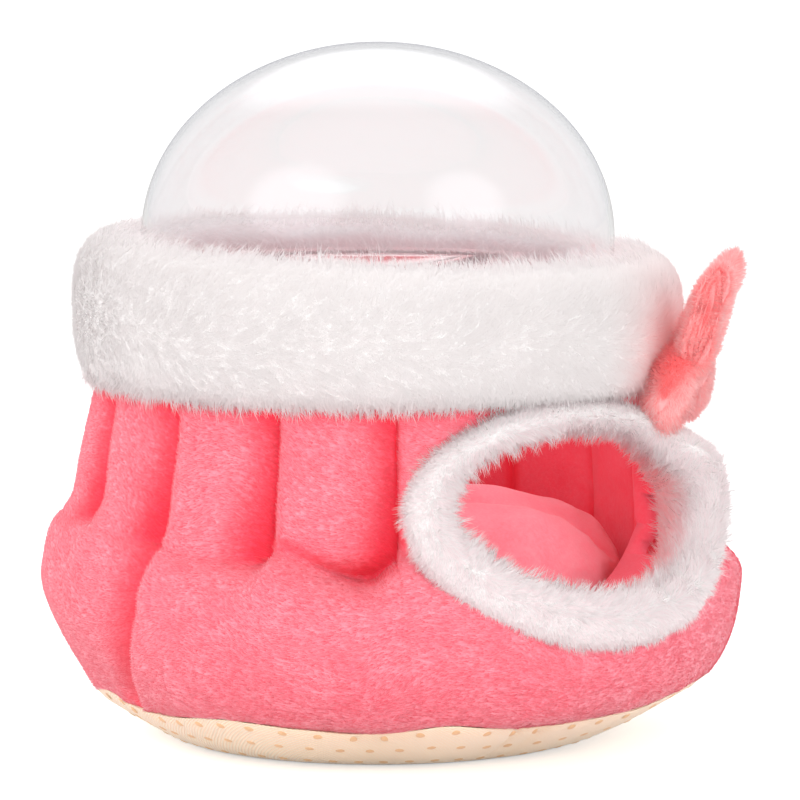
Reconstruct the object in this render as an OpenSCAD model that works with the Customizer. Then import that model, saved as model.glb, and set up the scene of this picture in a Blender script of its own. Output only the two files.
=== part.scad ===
// Hamster nest: a padded plush pod with a clear dome, a faux-fur collar and an oval entrance.
// Millimetres, +Z up. The origin is the centre of the sole's flat underside, and the entrance faces -Y.

/* [Dome] */
// Outer diameter of the clear dome
dome_d = 120; // [100:1:135]
// Height of the dome's curved part above its straight skirt
dome_h = 49; // [35:1:65]
// Thickness of the clear plastic
dome_wall = 1.2; // [0.8:0.1:2]
// Height of the straight skirt, flange included
skirt_h = 10.5; // [8:0.5:13]
// How far the flange stands out from the skirt
flange_w = 5; // [3:0.5:7]
// Thickness of the flange
flange_t = 1.2; // [0.8:0.1:2]

/* [Base] */
// How much wider than the dome the base is, where the wall is sewn to it
base_extra = 25; // [20:1:30]
// How much narrower the flat underside is than the base
base_inset = 37; // [20:1:50]
// Height of the stuffed base
base_h = 12; // [8:0.5:18]

/* [Padded wall] */
// Height of the wall above the base
wall_h = 105; // [95:1:115]
// Number of quilted channels round the wall
channel_count = 15; // [11:2:17]
// Depth of the seams between the channels at the waist
channel_puff = 6; // [2:0.5:7]
// How much wider than the dome the channels are at the waist, just above the bolster
waist_extra = 36; // [30:1:44]
// How much wider than the dome the channels are at the neck, just under the collar
neck_extra = 25; // [23:0.5:30]
// Thickness of the wadding at the rim, where the collar squeezes it
rim_pad = 9; // [7.5:0.5:11]

/* [Bolster] */
// Height of the stuffed bolster above the base
bolster_h = 46; // [40:1:50]
// Height of the bolster's fullest line above the base
bolster_peak = 29; // [22:1:31]
// How far the bolster stands out at the sides and the back
bolster_out = 13; // [10:0.5:16]
// How much further it stands out under the entrance
bolster_front = 6.5; // [0:0.5:10]
// How much lower the bolster ends under the entrance
bolster_dip = 5; // [0:0.5:7]
// How far the bolster's top sags between the seams of the channels
bolster_sag = 3.5; // [0:0.5:6]
// Depth of the panel seams where they cross the bolster
panel_seam = 4; // [0:0.5:5]

/* [Inside of the wall] */
// How much wider than the dome the wall's inside is at the floor
inner_extra = 14; // [10:1:16]
// Gap between the dome's skirt and the wall's inside at the rim
rim_gap = 1.7; // [1:0.1:3]
// How far the inside puffs inwards between its seams
inner_puff = 2.4; // [0:0.2:3]
// How far the inside widens at half its height
inner_belly = 3; // [0:0.5:4]

/* [Collar] */
// Height of the collar below the rim of the wall
collar_drop = 25.5; // [20:0.5:30]
// Height of the collar above the rim of the wall
collar_rise = 7.4; // [6:0.1:11]
// How far the collar stands out from the wall it is sewn to
collar_out = 6.4; // [5:0.1:10]

/* [Entrance] */
// Clear width of the entrance between the trims
door_w = 72; // [56:1:76]
// Clear height of the entrance between the trims
door_h = 39.5; // [30:0.5:42]
// Width of the fur band at the sides and the bottom
trim_w = 11.4; // [9:0.2:14]
// Width of the fur band at the top, where the collar squeezes it
trim_top_w = 6.4; // [6:0.2:9]
// Depth of the fur band through the wall, at the bottom
trim_depth = 14.6; // [12:0.2:20]
// Depth of the fur band under the collar
trim_top_depth = 11.8; // [11:0.2:16]

/* [Cushion] */
// Gap between the loose cushion and the wall's inside
cushion_gap = 0.6; // [0.4:0.1:4]
// Height of the cushion at its middle
cushion_h = 49; // [35:1:52]
// Height of the folds in its cover
cushion_fold = 3.5; // [0:0.5:5]

/* [Bow] */
// Angle from the entrance to the bow, round the collar
bow_angle = 39; // [30:1:60]
// Height of the knot above the collar's lower edge
bow_rise = 5; // [4:0.5:14]
// How far the bow is pressed into the collar's fur
bow_press = 3; // [1:0.5:4]
// Length of each loop from the knot
loop_l = 19; // [14:1:25]
// Height of each loop at its open end
loop_h = 28; // [18:1:32]
// Thickness of each loop at its open end
loop_t = 9.5; // [8:0.5:14]
// Length of each tail from the knot
tail_l = 19; // [14:1:23]
// Height of each tail at its end
tail_h = 23; // [16:1:26]
// Thickness of each tail
tail_t = 11; // [8:0.5:13]
// Outer diameter of the knot
knot_d = 13; // [11:0.5:16]
// Width of the knot's band
knot_w = 8; // [6:0.5:11]
// Diameter of the gathered cloth inside the knot
knot_core_d = 8; // [6:0.5:9]

/* [Hidden] */

coral = [0.98, 0.42, 0.48];
fur_white = [0.96, 0.95, 0.95];
beige = [0.93, 0.79, 0.62];
clear = [0.9, 0.93, 0.96, 0.3];

// Clearance between pieces that only touch
touch = 0.2;
// Angle of the entrance's middle in the XY plane
front = -90;

// Heights
floor_z = base_h;
rim_z = floor_z + wall_h;
collar_z = rim_z - collar_drop;
skirt_top_z = rim_z + skirt_h;
bolster_top_z = floor_z + bolster_h;
bolster_peak_z = floor_z + bolster_peak;
knot_z = collar_z + bow_rise;

// Widths, each from the dome that the nest is sewn round
base_d = dome_d + base_extra;
base_flat_d = base_d - base_inset;
waist_d = dome_d + waist_extra;
neck_d = dome_d + neck_extra;
inner_d = dome_d + inner_extra;
rim_inner_r = dome_d / 2 + rim_gap;
rim_r = rim_inner_r + rim_pad;
hem_r = base_d / 2;

// Quilting: each channel has the same number of facets, so that every seam falls on an edge
channel_pitch = 360 / channel_count;
channel_steps = 8;
ring_steps = channel_count * channel_steps;
// The two seams that join the front and back panels, counted in channels from the entrance
panel_channels = round(84 / channel_pitch - 0.5) + 0.5;
panel_angle = panel_channels * channel_pitch;
// Height under the collar's edge over which the channels are squeezed flat
squeeze_h = 5;

// Trim: semi-axes of its centre line, and its sections
trim_mid_w = (door_w + trim_w) / 2;
trim_mid_h = (door_h + (trim_w + trim_top_w) / 2) / 2;
// The band's upper edge is tucked up to the collar
trim_mid_z = collar_z - touch - trim_top_w / 2 - trim_mid_h;
trim_steps = 60;
trim_sides = 12;
// How far the band's centre line lies under the wall's surface
trim_sink = 1.5;

function clamp01(x) = max(0, min(1, x));
function smooth(x) = let (t = clamp01(x)) t * t * (3 - 2 * t);
function mix(a, b, t) = a + (b - a) * t;
// The larger of two values, rounded over a width k where they cross
function soft_max(a, b, k) = let (h = max(k - abs(a - b), 0) / k) max(a, b) + h * h * k / 4;
function unit(v) = v / norm(v);
// Angle from the entrance, -180 to 180
function off_front(theta) = let (d = theta - front) d - 360 * round(d / 360);

// Rings one above the other, each running anticlockwise seen from above, as a solid with flat ends
module rings_solid(rings) {
    rows = len(rings);
    n = len(rings[0]);
    points = [for (ring = rings) each ring];
    sides = [
        for (j = [0:rows - 2], i = [0:n - 1]) let (k = (i + 1) % n)
        each [
            [j * n + i, (j + 1) * n + k, j * n + k],
            [j * n + i, (j + 1) * n + i, (j + 1) * n + k]
        ]
    ];
    low = [[for (i = [0:n - 1]) i]];
    high = [[for (i = [n - 1:-1:0]) (rows - 1) * n + i]];
    polyhedron(points = points, faces = concat(sides, low, high), convexity = 10);
}

// Rings that follow each other down the outside and up the inside of a hollow, closed on themselves
module loop_solid(rings) {
    rows = len(rings);
    n = len(rings[0]);
    points = [for (ring = rings) each ring];
    faces = [
        for (j = [0:rows - 1], i = [0:n - 1]) let (k = (i + 1) % n, m = (j + 1) % rows)
        each [
            [j * n + i, m * n + k, m * n + i],
            [j * n + i, j * n + k, m * n + k]
        ]
    ];
    polyhedron(points = points, faces = faces, convexity = 10);
}

// Points of an elliptical arc, in a profile of radius and height
function arc(cx, cz, a, b, from, to, n) = [
    for (i = [0:n]) let (t = mix(from, to, i / n)) [cx + a * cos(t), cz + b * sin(t)]
];

// Padded wall

// Where an angle lies across its channel: 0 and 1 at the seams, 0.5 at the crest
function channel_phase(theta) =
    let (u = off_front(theta) / channel_pitch + 0.5) u - floor(u);
// Pillow section of a channel on the inside: 0 at its seams, 1 at its crest
function pillow(f) = pow(max(0, 1 - pow(abs(2 * f - 1), 2.2)), 0.6);
// Section of a channel on the outside: its edge at 0 is steep and laps over the one before, and it sinks slowly to 1
function fold(f) =
    f < 0.35
        ? pow(max(0, 1 - pow(1 - f / 0.35, 2.3)), 0.4)
        : pow(max(0, 1 - pow((f - 0.35) / 0.65, 2)), 0.8);
// 1 under the entrance, 0 at the sides and the back
function frontness(theta) = 1 - smooth((abs(off_front(theta)) - 55) / 55);
// Narrow valley at an angle on both sides of the entrance
function valley(theta, angle, width) =
    exp(-pow((abs(off_front(theta)) - angle) / width, 2));

// 1 where the channels end in a crease above the bolster, 0 where they run into it softly
function crispness(theta) = 1 - smooth((abs(off_front(theta)) - 56) / 8);
// Narrow on the side of the entrance, wide on the other
function panel_valley(theta, z) =
    let (s = abs(off_front(theta)) - panel_at(z)) exp(-pow(s / (s < 0 ? 2.2 : 6.5), 2));

// Height at which the bolster ends; channels near the entrance hang over it, lowest towards their far edge
function bolster_end(theta) =
    let (
        f = channel_phase(theta),
        hang = 0.55 - smooth(f / 0.72) * (1 - smooth((f - 0.78) / 0.22) * 0.6),
        even = 0.5 - pillow(f)
    )
    bolster_top_z - bolster_dip * frontness(theta) + bolster_sag * mix(even * 0.4, 2.2 * hang, crispness(theta));

function bolster_r(theta, z) =
    let (
        w = frontness(theta),
        high = clamp01((z - bolster_peak_z) / (bolster_end(theta) - bolster_peak_z)),
        low = clamp01((bolster_peak_z - z) / bolster_peak),
        cone = 1 - pow(low, 1.5),
        round_low = sqrt(1 - low * low),
        fill = pow(1 - pow(high, 2.4), 0.6) * mix(cone, round_low, w)
    )
    // Above its end it drops well inside the wall, and more so under the collar, which fits the wall's rim
    hem_r + (bolster_out + bolster_front * w) * fill - 16 * smooth((z - bolster_end(theta)) / 8)
        - 12 * smooth((z - collar_z + squeeze_h) / squeeze_h);

// Wall above the bolster, at a crest
function crest_r(z) =
    let (
        t = (z - bolster_top_z) / (collar_z - squeeze_h - bolster_top_z),
        squeeze = smooth((z - collar_z + squeeze_h) / squeeze_h),
        tuck = 20 * smooth((bolster_top_z - z) / 24)
    )
    mix(mix(waist_d, neck_d, clamp01(t)) / 2, rim_r, squeeze) - tuck;

// Depth of the seams, less at the neck
function quilt_depth(z) =
    channel_puff * mix(1, 0.75, clamp01((z - bolster_top_z) / (collar_z - bolster_top_z)))
        * (1 - smooth((z - collar_z + squeeze_h) / squeeze_h));

// The panel seams lean away from the entrance towards the base
function panel_at(z) = panel_angle + 13 * pow(clamp01((bolster_peak_z - z) / bolster_peak), 1.2);

function outer_r(theta, z) =
    let (
        wall = crest_r(z) - quilt_depth(z) * (1 - fold(channel_phase(theta))),
        body = soft_max(wall, bolster_r(theta, z), mix(21, 3, crispness(theta))),
        on_bolster = clamp01((z - floor_z) / 6) * clamp01((bolster_end(theta) + 6 - z) / 10),
        gather = 1.5 * valley(theta, panel_at(z) + 12, 5) + panel_seam * panel_valley(theta, z)
    )
    body - on_bolster * gather;

function inner_r(theta, z) =
    let (
        t = (z - floor_z) / wall_h,
        ends = smooth(t / 0.12) * smooth((1 - t) / 0.16)
    )
    mix(inner_d / 2, rim_inner_r, t) + inner_belly * sin(180 * t)
        - inner_puff * ends * pillow(channel_phase(theta));

function on_ring(r, theta, z) = [r * cos(theta), r * sin(theta), z];
function ring_angle(i) = front + channel_pitch * (0.5 + i / channel_steps);

// Rows of facets: shares of the bolster's height, then shares of the channels' height above it
bolster_rows = [0, 0.05, 0.12, 0.22, 0.34, 0.47, 0.6, 0.72, 0.82, 0.9, 0.96, 1];
channel_rows = [0.06, 0.14, 0.28, 0.5, 0.75, 1];
function bolster_row_z(theta, share) = mix(floor_z, bolster_end(theta), share);
function channel_row_z(theta, share) = mix(bolster_end(theta), collar_z - squeeze_h, share);
inner_rows = [for (t = [0, 0.06, 0.14, 0.32, 0.55, 0.8, 0.9, 1]) floor_z + t * wall_h];

module wall_body() {
    angles = [for (i = [0:ring_steps - 1]) ring_angle(i)];
    outside = [
        for (share = bolster_rows)
        [for (a = angles) let (z = bolster_row_z(a, share)) on_ring(outer_r(a, z), a, z)],
        for (share = channel_rows)
        [for (a = angles) let (z = channel_row_z(a, share)) on_ring(outer_r(a, z), a, z)],
        for (z = [collar_z - squeeze_h / 2, collar_z, rim_z])
        [for (a = angles) on_ring(outer_r(a, z), a, z)]
    ];
    inside = [
        for (z = inner_rows)
        [for (a = angles) on_ring(inner_r(a, z), a, z)]
    ];
    loop_solid(concat([for (j = [len(outside) - 1:-1:0]) outside[j]], inside));
}

module padded_wall() {
    color(coral)
    difference() {
        wall_body();
        entrance_tunnel();
        trim_tube();
    }
}

// Entrance and its trim

// The band lies on the bolster at the bottom and on the wall at the top
trim_low_z = trim_mid_z - trim_mid_h;
trim_low_r = bolster_r(front, trim_low_z) - trim_sink;
trim_top_r = crest_r(trim_mid_z + trim_mid_h) - trim_sink;

// Point of the band's centre line at an angle round the oval
function trim_point(t) =
    let (
        x = trim_mid_w * cos(t),
        z = trim_mid_z + trim_mid_h * sin(t),
        r = mix(trim_low_r, trim_top_r, (1 + sin(t)) / 2)
    )
    [x, -sqrt(r * r - x * x), z];

// Section of the band at a point: deep through the wall, rounded, and widest outside
function trim_ring(t) =
    let (
        p = trim_point(t),
        along = unit(trim_point(t + 1) - trim_point(t - 1)),
        away = unit([p[0], p[1], 0]),
        out = unit(away - along * (away * along)),
        across = cross(along, out),
        up = smooth((sin(t) + 0.4) / 1.4),
        half_w = mix(trim_w, trim_top_w, up) / 2,
        half_deep = mix(trim_depth, trim_top_depth, up) / 2
    )
    [
        for (k = [0:trim_sides - 1]) let (s = 360 * k / trim_sides)
        p + out * (half_deep * cos(s)) + across * (half_w * sin(s) * (1.04 + 0.26 * cos(s)))
    ];

module trim_tube() {
    loop_solid([for (i = [0:trim_steps - 1]) trim_ring(-360 * (i + 0.5) / trim_steps)]);
}

module entrance_trim() {
    color(fur_white) trim_tube();
}

// Oval hole through the wall, as a row of short lengths from the hollow to the outside
module entrance_tunnel() {
    lengths = 8;
    near_y = -inner_d / 4;
    far_y = -waist_d / 2 - bolster_out - bolster_front;
    for (k = [0:lengths - 1])
        hull() {
            tunnel_slice(mix(near_y, far_y, k / lengths));
            tunnel_slice(mix(near_y, far_y, (k + 1) / lengths));
        }
}

module tunnel_slice(y) {
    translate([0, y, trim_mid_z])
        rotate([90, 0, 0])
            linear_extrude(height = 0.01)
                polygon([for (k = [0:39]) let (t = 9 * k + 4.5) [trim_mid_w * cos(t), trim_mid_h * sin(t)]]);
}

// Collar

collar_crest_r = dome_d / 2 + 8;
collar_belly_r = rim_r + collar_out;
collar_belly_z = collar_z + 18;
collar_foot_h = 19;

// Outer radius of the collar at a height below its belly
function collar_r(z) =
    collar_crest_r + (collar_belly_r - collar_crest_r)
        * pow(1 - pow(clamp01((collar_belly_z - z) / collar_foot_h), 2.6), 1 / 2.6);

// Rounded outline between two directions, squarer than an ellipse
function full_arc(cx, cz, a, b, from, to, n) = [
    for (i = [0:n]) let (t = mix(from, to, i / n), c = cos(t), s = sin(t))
    [cx + a * sign(c) * pow(abs(c), 0.88), cz + b * sign(s) * pow(abs(s), 0.88)]
];

module collar_shape() {
    top_z = rim_z + collar_rise;
    lip_r = dome_d / 2 + touch;
    lip_z = rim_z + flange_t + 2;
    flange_r = dome_d / 2 + flange_w + touch;
    rotate_extrude($fn = 120)
    polygon(concat(
        [[rim_r, rim_z], [rim_r, collar_z]],
        [for (t = [0.04, 0.12, 0.25, 0.42, 0.65, 0.85]) let (z = mix(collar_z, collar_belly_z, t)) [collar_r(z), z]],
        full_arc(collar_crest_r, collar_belly_z, collar_belly_r - collar_crest_r, top_z - collar_belly_z, 0, 90, 9),
        full_arc(collar_crest_r, lip_z, collar_crest_r - lip_r, top_z - lip_z, 108, 180, 4),
        [
            [lip_r, rim_z + flange_t + touch],
            [flange_r, rim_z + flange_t + touch],
            [flange_r, rim_z]
        ]
    ));
}

module collar() {
    color(fur_white) collar_shape();
}

// Dome

module dome() {
    r = dome_d / 2;
    inside = r - dome_wall;
    color(clear)
    rotate_extrude($fn = 120)
    polygon(concat(
        [
            [inside, rim_z],
            [r + flange_w, rim_z],
            [r + flange_w, rim_z + flange_t],
            [r, rim_z + flange_t]
        ],
        arc(0, skirt_top_z, r, dome_h, 0, 90, 24),
        arc(0, skirt_top_z, inside, dome_h - dome_wall, 90, 0, 24)
    ));
}

// Sole: the stuffed base, from its flat underside to the seam under the wall

module sole() {
    flat_r = base_flat_d / 2;
    color(beige)
    rotate_extrude($fn = 120)
    polygon(concat(
        [[0, base_h], [0, 0]],
        [for (i = [0:8]) let (u = i / 8) [flat_r + (hem_r - flat_r) * pow(u, 0.75), base_h * u]]
    ));
}

// Cushion

cushion_steps = 60;
// The cushion fits between the padded channels, where they are closest
cushion_r = inner_r(front, floor_z + 0.14 * wall_h) - cushion_gap;

// Rolls in the cover, which run across the entrance one behind the other
function folds(x, y) =
    let (roll = (y + 0.3 * x + 59 + 3 * sin(3 * x)) / 34)
    2 * pow(abs(sin(180 * roll)), 0.7) - 1.2 + 0.4 * sin(5 * x + 60);

// A ring of the cushion: share of its radius, share of its height, and how much the folds count
function cushion_ring(radius, height, fold) = [
    for (i = [0:cushion_steps - 1]) let (
        t = 360 * i / cushion_steps,
        r = cushion_r * radius * (1 - 0.012 * (1 + sin(5 * t + 40))),
        x = r * cos(t),
        y = r * sin(t)
    )
    [x, y, floor_z + cushion_h * height + cushion_fold * fold * folds(x, y)]
];

module cushion() {
    rows = [
        [0.84, 0, 0], [0.95, 0.1, 0], [1, 0.3, 0], [0.99, 0.52, 0.1], [0.95, 0.7, 0.4], [0.88, 0.82, 0.8],
        [0.79, 0.89, 1], [0.69, 0.93, 1], [0.58, 0.96, 1], [0.47, 0.98, 1], [0.36, 0.99, 1], [0.25, 1, 1],
        [0.14, 1, 1], [0.05, 1, 1]
    ];
    color(coral) rings_solid([for (row = rows) cushion_ring(row[0], row[1], row[2])]);
}

// Bow: its own frame has X along the loops, Y out of the collar and Z up

module on_collar() {
    rotate(front + bow_angle - 90)
        translate([0, collar_r(knot_z) - bow_press + knot_d / 2, knot_z])
            children();
}

wing_sides = 20;

// Section of a wing at a share of its length: an almond that leans outwards at its top
function wing_section(share, size, l, h, t, lift, out, lean, core) =
    let (
        half_h = mix(core, h, pow(share, 0.7)) / 2 * size,
        half_t = mix(core, t, share) / 2 * size,
        x = knot_w / 2 + share * l
    )
    [
        for (k = [0:wing_sides - 1]) let (
            s = 360 * k / wing_sides,
            pleat = 1 - 0.35 * share * pow(abs(cos(s)), 8),
            z = lift * share + half_h * sin(s)
        )
        [
            x - 0.12 * l * share * pow(sin(s), 2),
            out * share + lean * share * half_h * sin(s) + half_t * cos(s) * pleat * (1 - 0.3 * share * pow(sin(s), 8)),
            z
        ]
    ];

// One wing from the knot to its open end, and back into its mouth
function wing(l, h, t, lift, out, lean, core) = [
    for (share = [0, 0.15, 0.35, 0.6, 0.82, 0.96]) wing_section(share, 1, l, h, t, lift, out, lean, core),
    wing_section(1, 0.9, l, h, t, lift, out, lean, core),
    wing_section(0.95, 0.62, l, h, t, lift, out, lean, core),
    wing_section(0.75, 0.3, l, h, t, lift, out, lean, core)
];

// Two wings on one core, the far one on the other side of the knot
module wing_pair(near, far) {
    rings_solid([
        each [for (j = [len(far) - 1:-1:0]) [for (p = far[j]) [-p[0], p[1], p[2]]]],
        each near
    ]);
}

// The far loop is smaller and stands higher
module loops_shape() {
    on_collar()
        wing_pair(
            wing(loop_l, loop_h, loop_t, 14, 8, 0.3, knot_core_d),
            wing(loop_l, loop_h * 0.8, loop_t, 16, 6.5, 0.35, knot_core_d)
        );
}

module knot_shape() {
    on_collar()
        rotate([0, 90, 0])
            rotate_extrude($fn = 48)
                polygon(concat(
                    [[knot_core_d / 2, knot_w / 2], [knot_core_d / 2, -knot_w / 2]],
                    arc(knot_core_d / 2, 0, (knot_d - knot_core_d) / 2, knot_w / 2, -90, 90, 10)
                ));
}

module bow_loops() {
    color(coral)
    difference() {
        loops_shape();
        collar_shape();
    }
}

// The tails lie behind the loops, and their folds follow the fur that they rest on
module bow_tails() {
    color(coral)
    difference() {
        on_collar()
            wing_pair(
                wing(tail_l, tail_h, tail_t, -6.5, -2, 0.25, knot_core_d - 1),
                wing(tail_l * 0.9, tail_h * 0.85, tail_t * 0.85, -8.5, -0.5, 0.2, knot_core_d - 1)
            );
        loops_shape();
        knot_shape();
        collar_shape();
        trim_tube();
    }
}

module bow_knot() {
    color(coral)
    difference() {
        knot_shape();
        collar_shape();
    }
}

dome();
collar();
padded_wall();
entrance_trim();
cushion();
sole();
bow_loops();
bow_tails();
bow_knot();
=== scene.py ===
"""Looks of the plush hamster nest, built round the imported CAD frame.

Lengths in the helpers are in millimetres and angles in degrees.
"""

import math

import bpy
import numpy as np
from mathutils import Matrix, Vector


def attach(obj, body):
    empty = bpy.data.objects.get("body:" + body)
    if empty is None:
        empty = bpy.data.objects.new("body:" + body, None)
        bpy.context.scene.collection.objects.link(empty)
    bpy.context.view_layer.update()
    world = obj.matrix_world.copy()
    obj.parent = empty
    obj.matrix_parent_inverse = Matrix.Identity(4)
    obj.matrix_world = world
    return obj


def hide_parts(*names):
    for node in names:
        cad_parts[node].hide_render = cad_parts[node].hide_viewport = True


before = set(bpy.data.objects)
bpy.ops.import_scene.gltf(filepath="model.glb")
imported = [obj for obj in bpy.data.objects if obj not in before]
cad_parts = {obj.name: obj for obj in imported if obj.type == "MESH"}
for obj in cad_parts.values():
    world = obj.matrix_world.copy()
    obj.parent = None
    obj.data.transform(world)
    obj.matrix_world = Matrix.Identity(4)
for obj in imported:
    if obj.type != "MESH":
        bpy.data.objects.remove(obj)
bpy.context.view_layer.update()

MM = 0.001

# Sizes repeated from the part's source
DOME_D = 120.0
DOME_H = 49.0
DOME_WALL = 1.2
FLANGE_W = 5.0
FLANGE_T = 1.2
FLOOR_Z = 12.0
RIM_Z = 117.0
COLLAR_Z = 91.5
SKIRT_TOP_Z = 127.5
BASE_FLAT_R = 50.0
HEM_R = 72.5
PITCH = 24.0
PUFF = 6.0
WAIST_D = 156.0
NECK_D = 145.0
RIM_INNER_R = 61.7
RIM_R = 70.7
BOLSTER_TOP_Z = 58.0
BOLSTER_PEAK = 29.0
BOLSTER_PEAK_Z = 41.0
BOLSTER_OUT = 13.0
BOLSTER_FRONT = 6.5
BOLSTER_DIP = 5.0
BOLSTER_SAG = 3.5
PANEL_SEAM = 4.0
PANEL_ANGLE = 84.0
SQUEEZE_H = 5.0
INNER_D = 134.0
INNER_BELLY = 3.0
INNER_PUFF = 2.4
WALL_H = 105.0
FRONT = -90.0
TRIM_MID_W = 41.7
TRIM_MID_H = 24.2
TRIM_MID_Z = 63.9
TRIM_W = 11.4
TRIM_TOP_W = 6.4
TRIM_DEPTH = 14.6
TRIM_TOP_DEPTH = 11.8
TRIM_SINK = 1.5
COLLAR_CREST_R = 68.0
COLLAR_BELLY_R = 77.1
COLLAR_BELLY_Z = 109.5
COLLAR_FOOT_H = 19.0
COLLAR_TOP_Z = 124.4
LIP_R = 60.2
LIP_Z = 120.2
CUSHION_H = 49.0
CUSHION_FOLD = 3.5
BOW_ANGLE = 39.0
KNOT_Z = 96.5
BOW_PRESS = 3.0
LOOP_L, LOOP_H, LOOP_T = 19.0, 28.0, 9.5
TAIL_L, TAIL_H, TAIL_T = 19.0, 23.0, 11.0
KNOT_D, KNOT_W, KNOT_CORE_D = 13.0, 8.0, 8.0

# Steps of the grids round each piece
CHANNELS = 15
COLLAR_COLS = 540
TRIM_COLS, TRIM_SIDES = 300, 36
DOME_COLS = 192
CUSHION_COLS = 240
SOLE_COLS = 540
LOBE_COLS = 64


# Helpers: numbers

def clamp01(x):
    return np.clip(x, 0.0, 1.0)


def smooth(x):
    t = clamp01(x)
    return t * t * (3 - 2 * t)


def mix(a, b, t):
    return a + (b - a) * t


def soft_max(a, b, k):
    h = np.maximum(k - np.abs(a - b), 0) / k
    return np.maximum(a, b) + h * h * k / 4


def cosd(a):
    return np.cos(np.radians(a))


def sind(a):
    return np.sin(np.radians(a))


def unit(v):
    v = np.asarray(v, float)
    return v / np.maximum(np.linalg.norm(v, axis=-1, keepdims=True), 1e-12)


def circle(count):
    """Angles at even steps round a circle."""
    return np.arange(count) * 360 / count


def without(v, axis):
    """The part of v across an axis of length 1."""
    return v - axis * (v * axis).sum(-1, keepdims=True)


def on_ring(r, theta, z):
    return np.stack(np.broadcast_arrays(r * cosd(theta), r * sind(theta), z), -1)


table_rng = np.random.default_rng(11)
PERM = table_rng.permutation(256)
GRADS = unit(table_rng.normal(size=(256, 3)))


def noise(p, size, seed=0):
    """Gradient noise from about -1 to 1, with features of that size."""
    q = np.asarray(p, float) / size + np.array([seed * 17.31, seed * 5.77, seed * 9.13])
    cell = np.floor(q).astype(np.int64)
    f = q - cell
    u = f * f * f * (f * (f * 6 - 15) + 10)
    total = 0
    for dx in (0, 1):
        for dy in (0, 1):
            for dz in (0, 1):
                h = PERM[(cell[..., 0] + dx) & 255]
                h = PERM[(h + cell[..., 1] + dy) & 255]
                h = PERM[(h + cell[..., 2] + dz) & 255]
                away = f - np.array([dx, dy, dz])
                w = (
                    (u[..., 0] if dx else 1 - u[..., 0])
                    * (u[..., 1] if dy else 1 - u[..., 1])
                    * (u[..., 2] if dz else 1 - u[..., 2])
                )
                total = total + w * (GRADS[h] * away).sum(-1)
    return total * 1.6


def ring_noise(theta, size, seed=0):
    """Noise round the object, by angle, with features that many degrees long."""
    r = 180 / math.pi
    p = np.stack([r * cosd(theta), r * sind(theta), np.full_like(theta, seed * 31.0)], -1)
    return noise(p, size, seed)


# Helpers: meshes

def new_object(name, verts, loops, sizes, material):
    """An object from points in millimetres, the corners of all its faces and their number in each face."""
    me = bpy.data.meshes.new(name)
    verts = np.asarray(verts, float).reshape(-1, 3) * MM
    starts = np.concatenate([[0], np.cumsum(sizes)[:-1]])
    me.vertices.add(len(verts))
    me.vertices.foreach_set("co", verts.reshape(-1).astype(np.float32))
    me.loops.add(len(loops))
    me.loops.foreach_set("vertex_index", loops.astype(np.int32))
    me.polygons.add(len(sizes))
    me.polygons.foreach_set("loop_start", starts.astype(np.int32))
    me.polygons.foreach_set("use_smooth", np.full(len(sizes), True))
    me.update(calc_edges=True)
    ob = bpy.data.objects.new(name, me)
    bpy.context.scene.collection.objects.link(ob)
    if material is not None:
        me.materials.append(material)
    return ob


def add_mesh(name, verts, faces, material):
    """An object from points in millimetres and a list or array of faces."""
    sizes = np.array([len(f) for f in faces])
    ob = new_object(name, verts, np.concatenate([np.asarray(f) for f in faces]), sizes, material)
    ob.data.validate()
    return ob


def grid_faces(rows, cols, close_rows=False, close_cols=True, flip=False):
    """Quads of a grid of points, row by row."""
    jj = np.arange(rows if close_rows else rows - 1)
    ii = np.arange(cols if close_cols else cols - 1)
    j, i = np.meshgrid(jj, ii, indexing="ij")
    j2, i2 = (j + 1) % rows, (i + 1) % cols
    quad = [j * cols + i, j * cols + i2, j2 * cols + i2, j2 * cols + i]
    if flip:
        quad = quad[::-1]
    return np.stack(quad, -1).reshape(-1, 4)


def capped_faces(rows, cols, flip=False):
    """Faces of a closed tube: the quads of its grid, and one many-sided face at each end."""
    ends = [np.arange(cols)[::-1], (rows - 1) * cols + np.arange(cols)]
    return list(grid_faces(rows, cols, flip=flip)) + [end[::-1] if flip else end for end in ends]


def grid_normals(p, close_rows=False, close_cols=True):
    """Unit normals of a grid of points, by differences."""
    def step(a, axis, closed):
        if closed:
            return np.roll(a, -1, axis) - np.roll(a, 1, axis)
        return np.gradient(a, axis=axis)
    return unit(np.cross(step(p, 1, close_cols), step(p, 0, close_rows)))


def turned_out(normals, away, rows=slice(None)):
    """Turns all normals round if those of these rows look inwards."""
    return -normals if (normals[rows] * away[rows]).sum() < 0 else normals


def put_attribute(ob, name, values):
    values = np.asarray(values, np.float32)
    kind = "FLOAT" if values.ndim == 1 else "FLOAT_VECTOR"
    att = ob.data.attributes.new(name, kind, "POINT")
    att.data.foreach_set("value" if kind == "FLOAT" else "vector", values.reshape(-1))


def dress(piece, node_name=None):
    """Says what a piece rides on, and hides the CAD part that it stands for."""
    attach(piece, "root")
    if node_name:
        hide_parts(node_name)


# Helpers: materials

def rgba(c):
    return (c[0], c[1], c[2], 1.0)


def feed(nt, socket, value):
    """Links a socket to another one, or sets it to a number, vector or colour."""
    if isinstance(value, bpy.types.NodeSocket):
        nt.links.new(value, socket)
    else:
        socket.default_value = rgba(value) if socket.type == "RGBA" else value


def node(nt, kind, **values):
    """A node; each value goes to the input of that name, with spaces for underscores, or to a setting."""
    n = nt.nodes.new("ShaderNode" + kind)
    for key, value in values.items():
        title = key.replace("_", " ")
        if title in n.inputs:
            feed(nt, n.inputs[title], value)
        else:
            setattr(n, key, value)
    return n


def new_material(name):
    mat = bpy.data.materials.new(name)
    mat.use_nodes = True
    mat.node_tree.nodes.clear()
    return mat, mat.node_tree


def show(nt, shader, output="OutputMaterial"):
    nt.links.new(shader, node(nt, output).inputs["Surface"])


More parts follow.
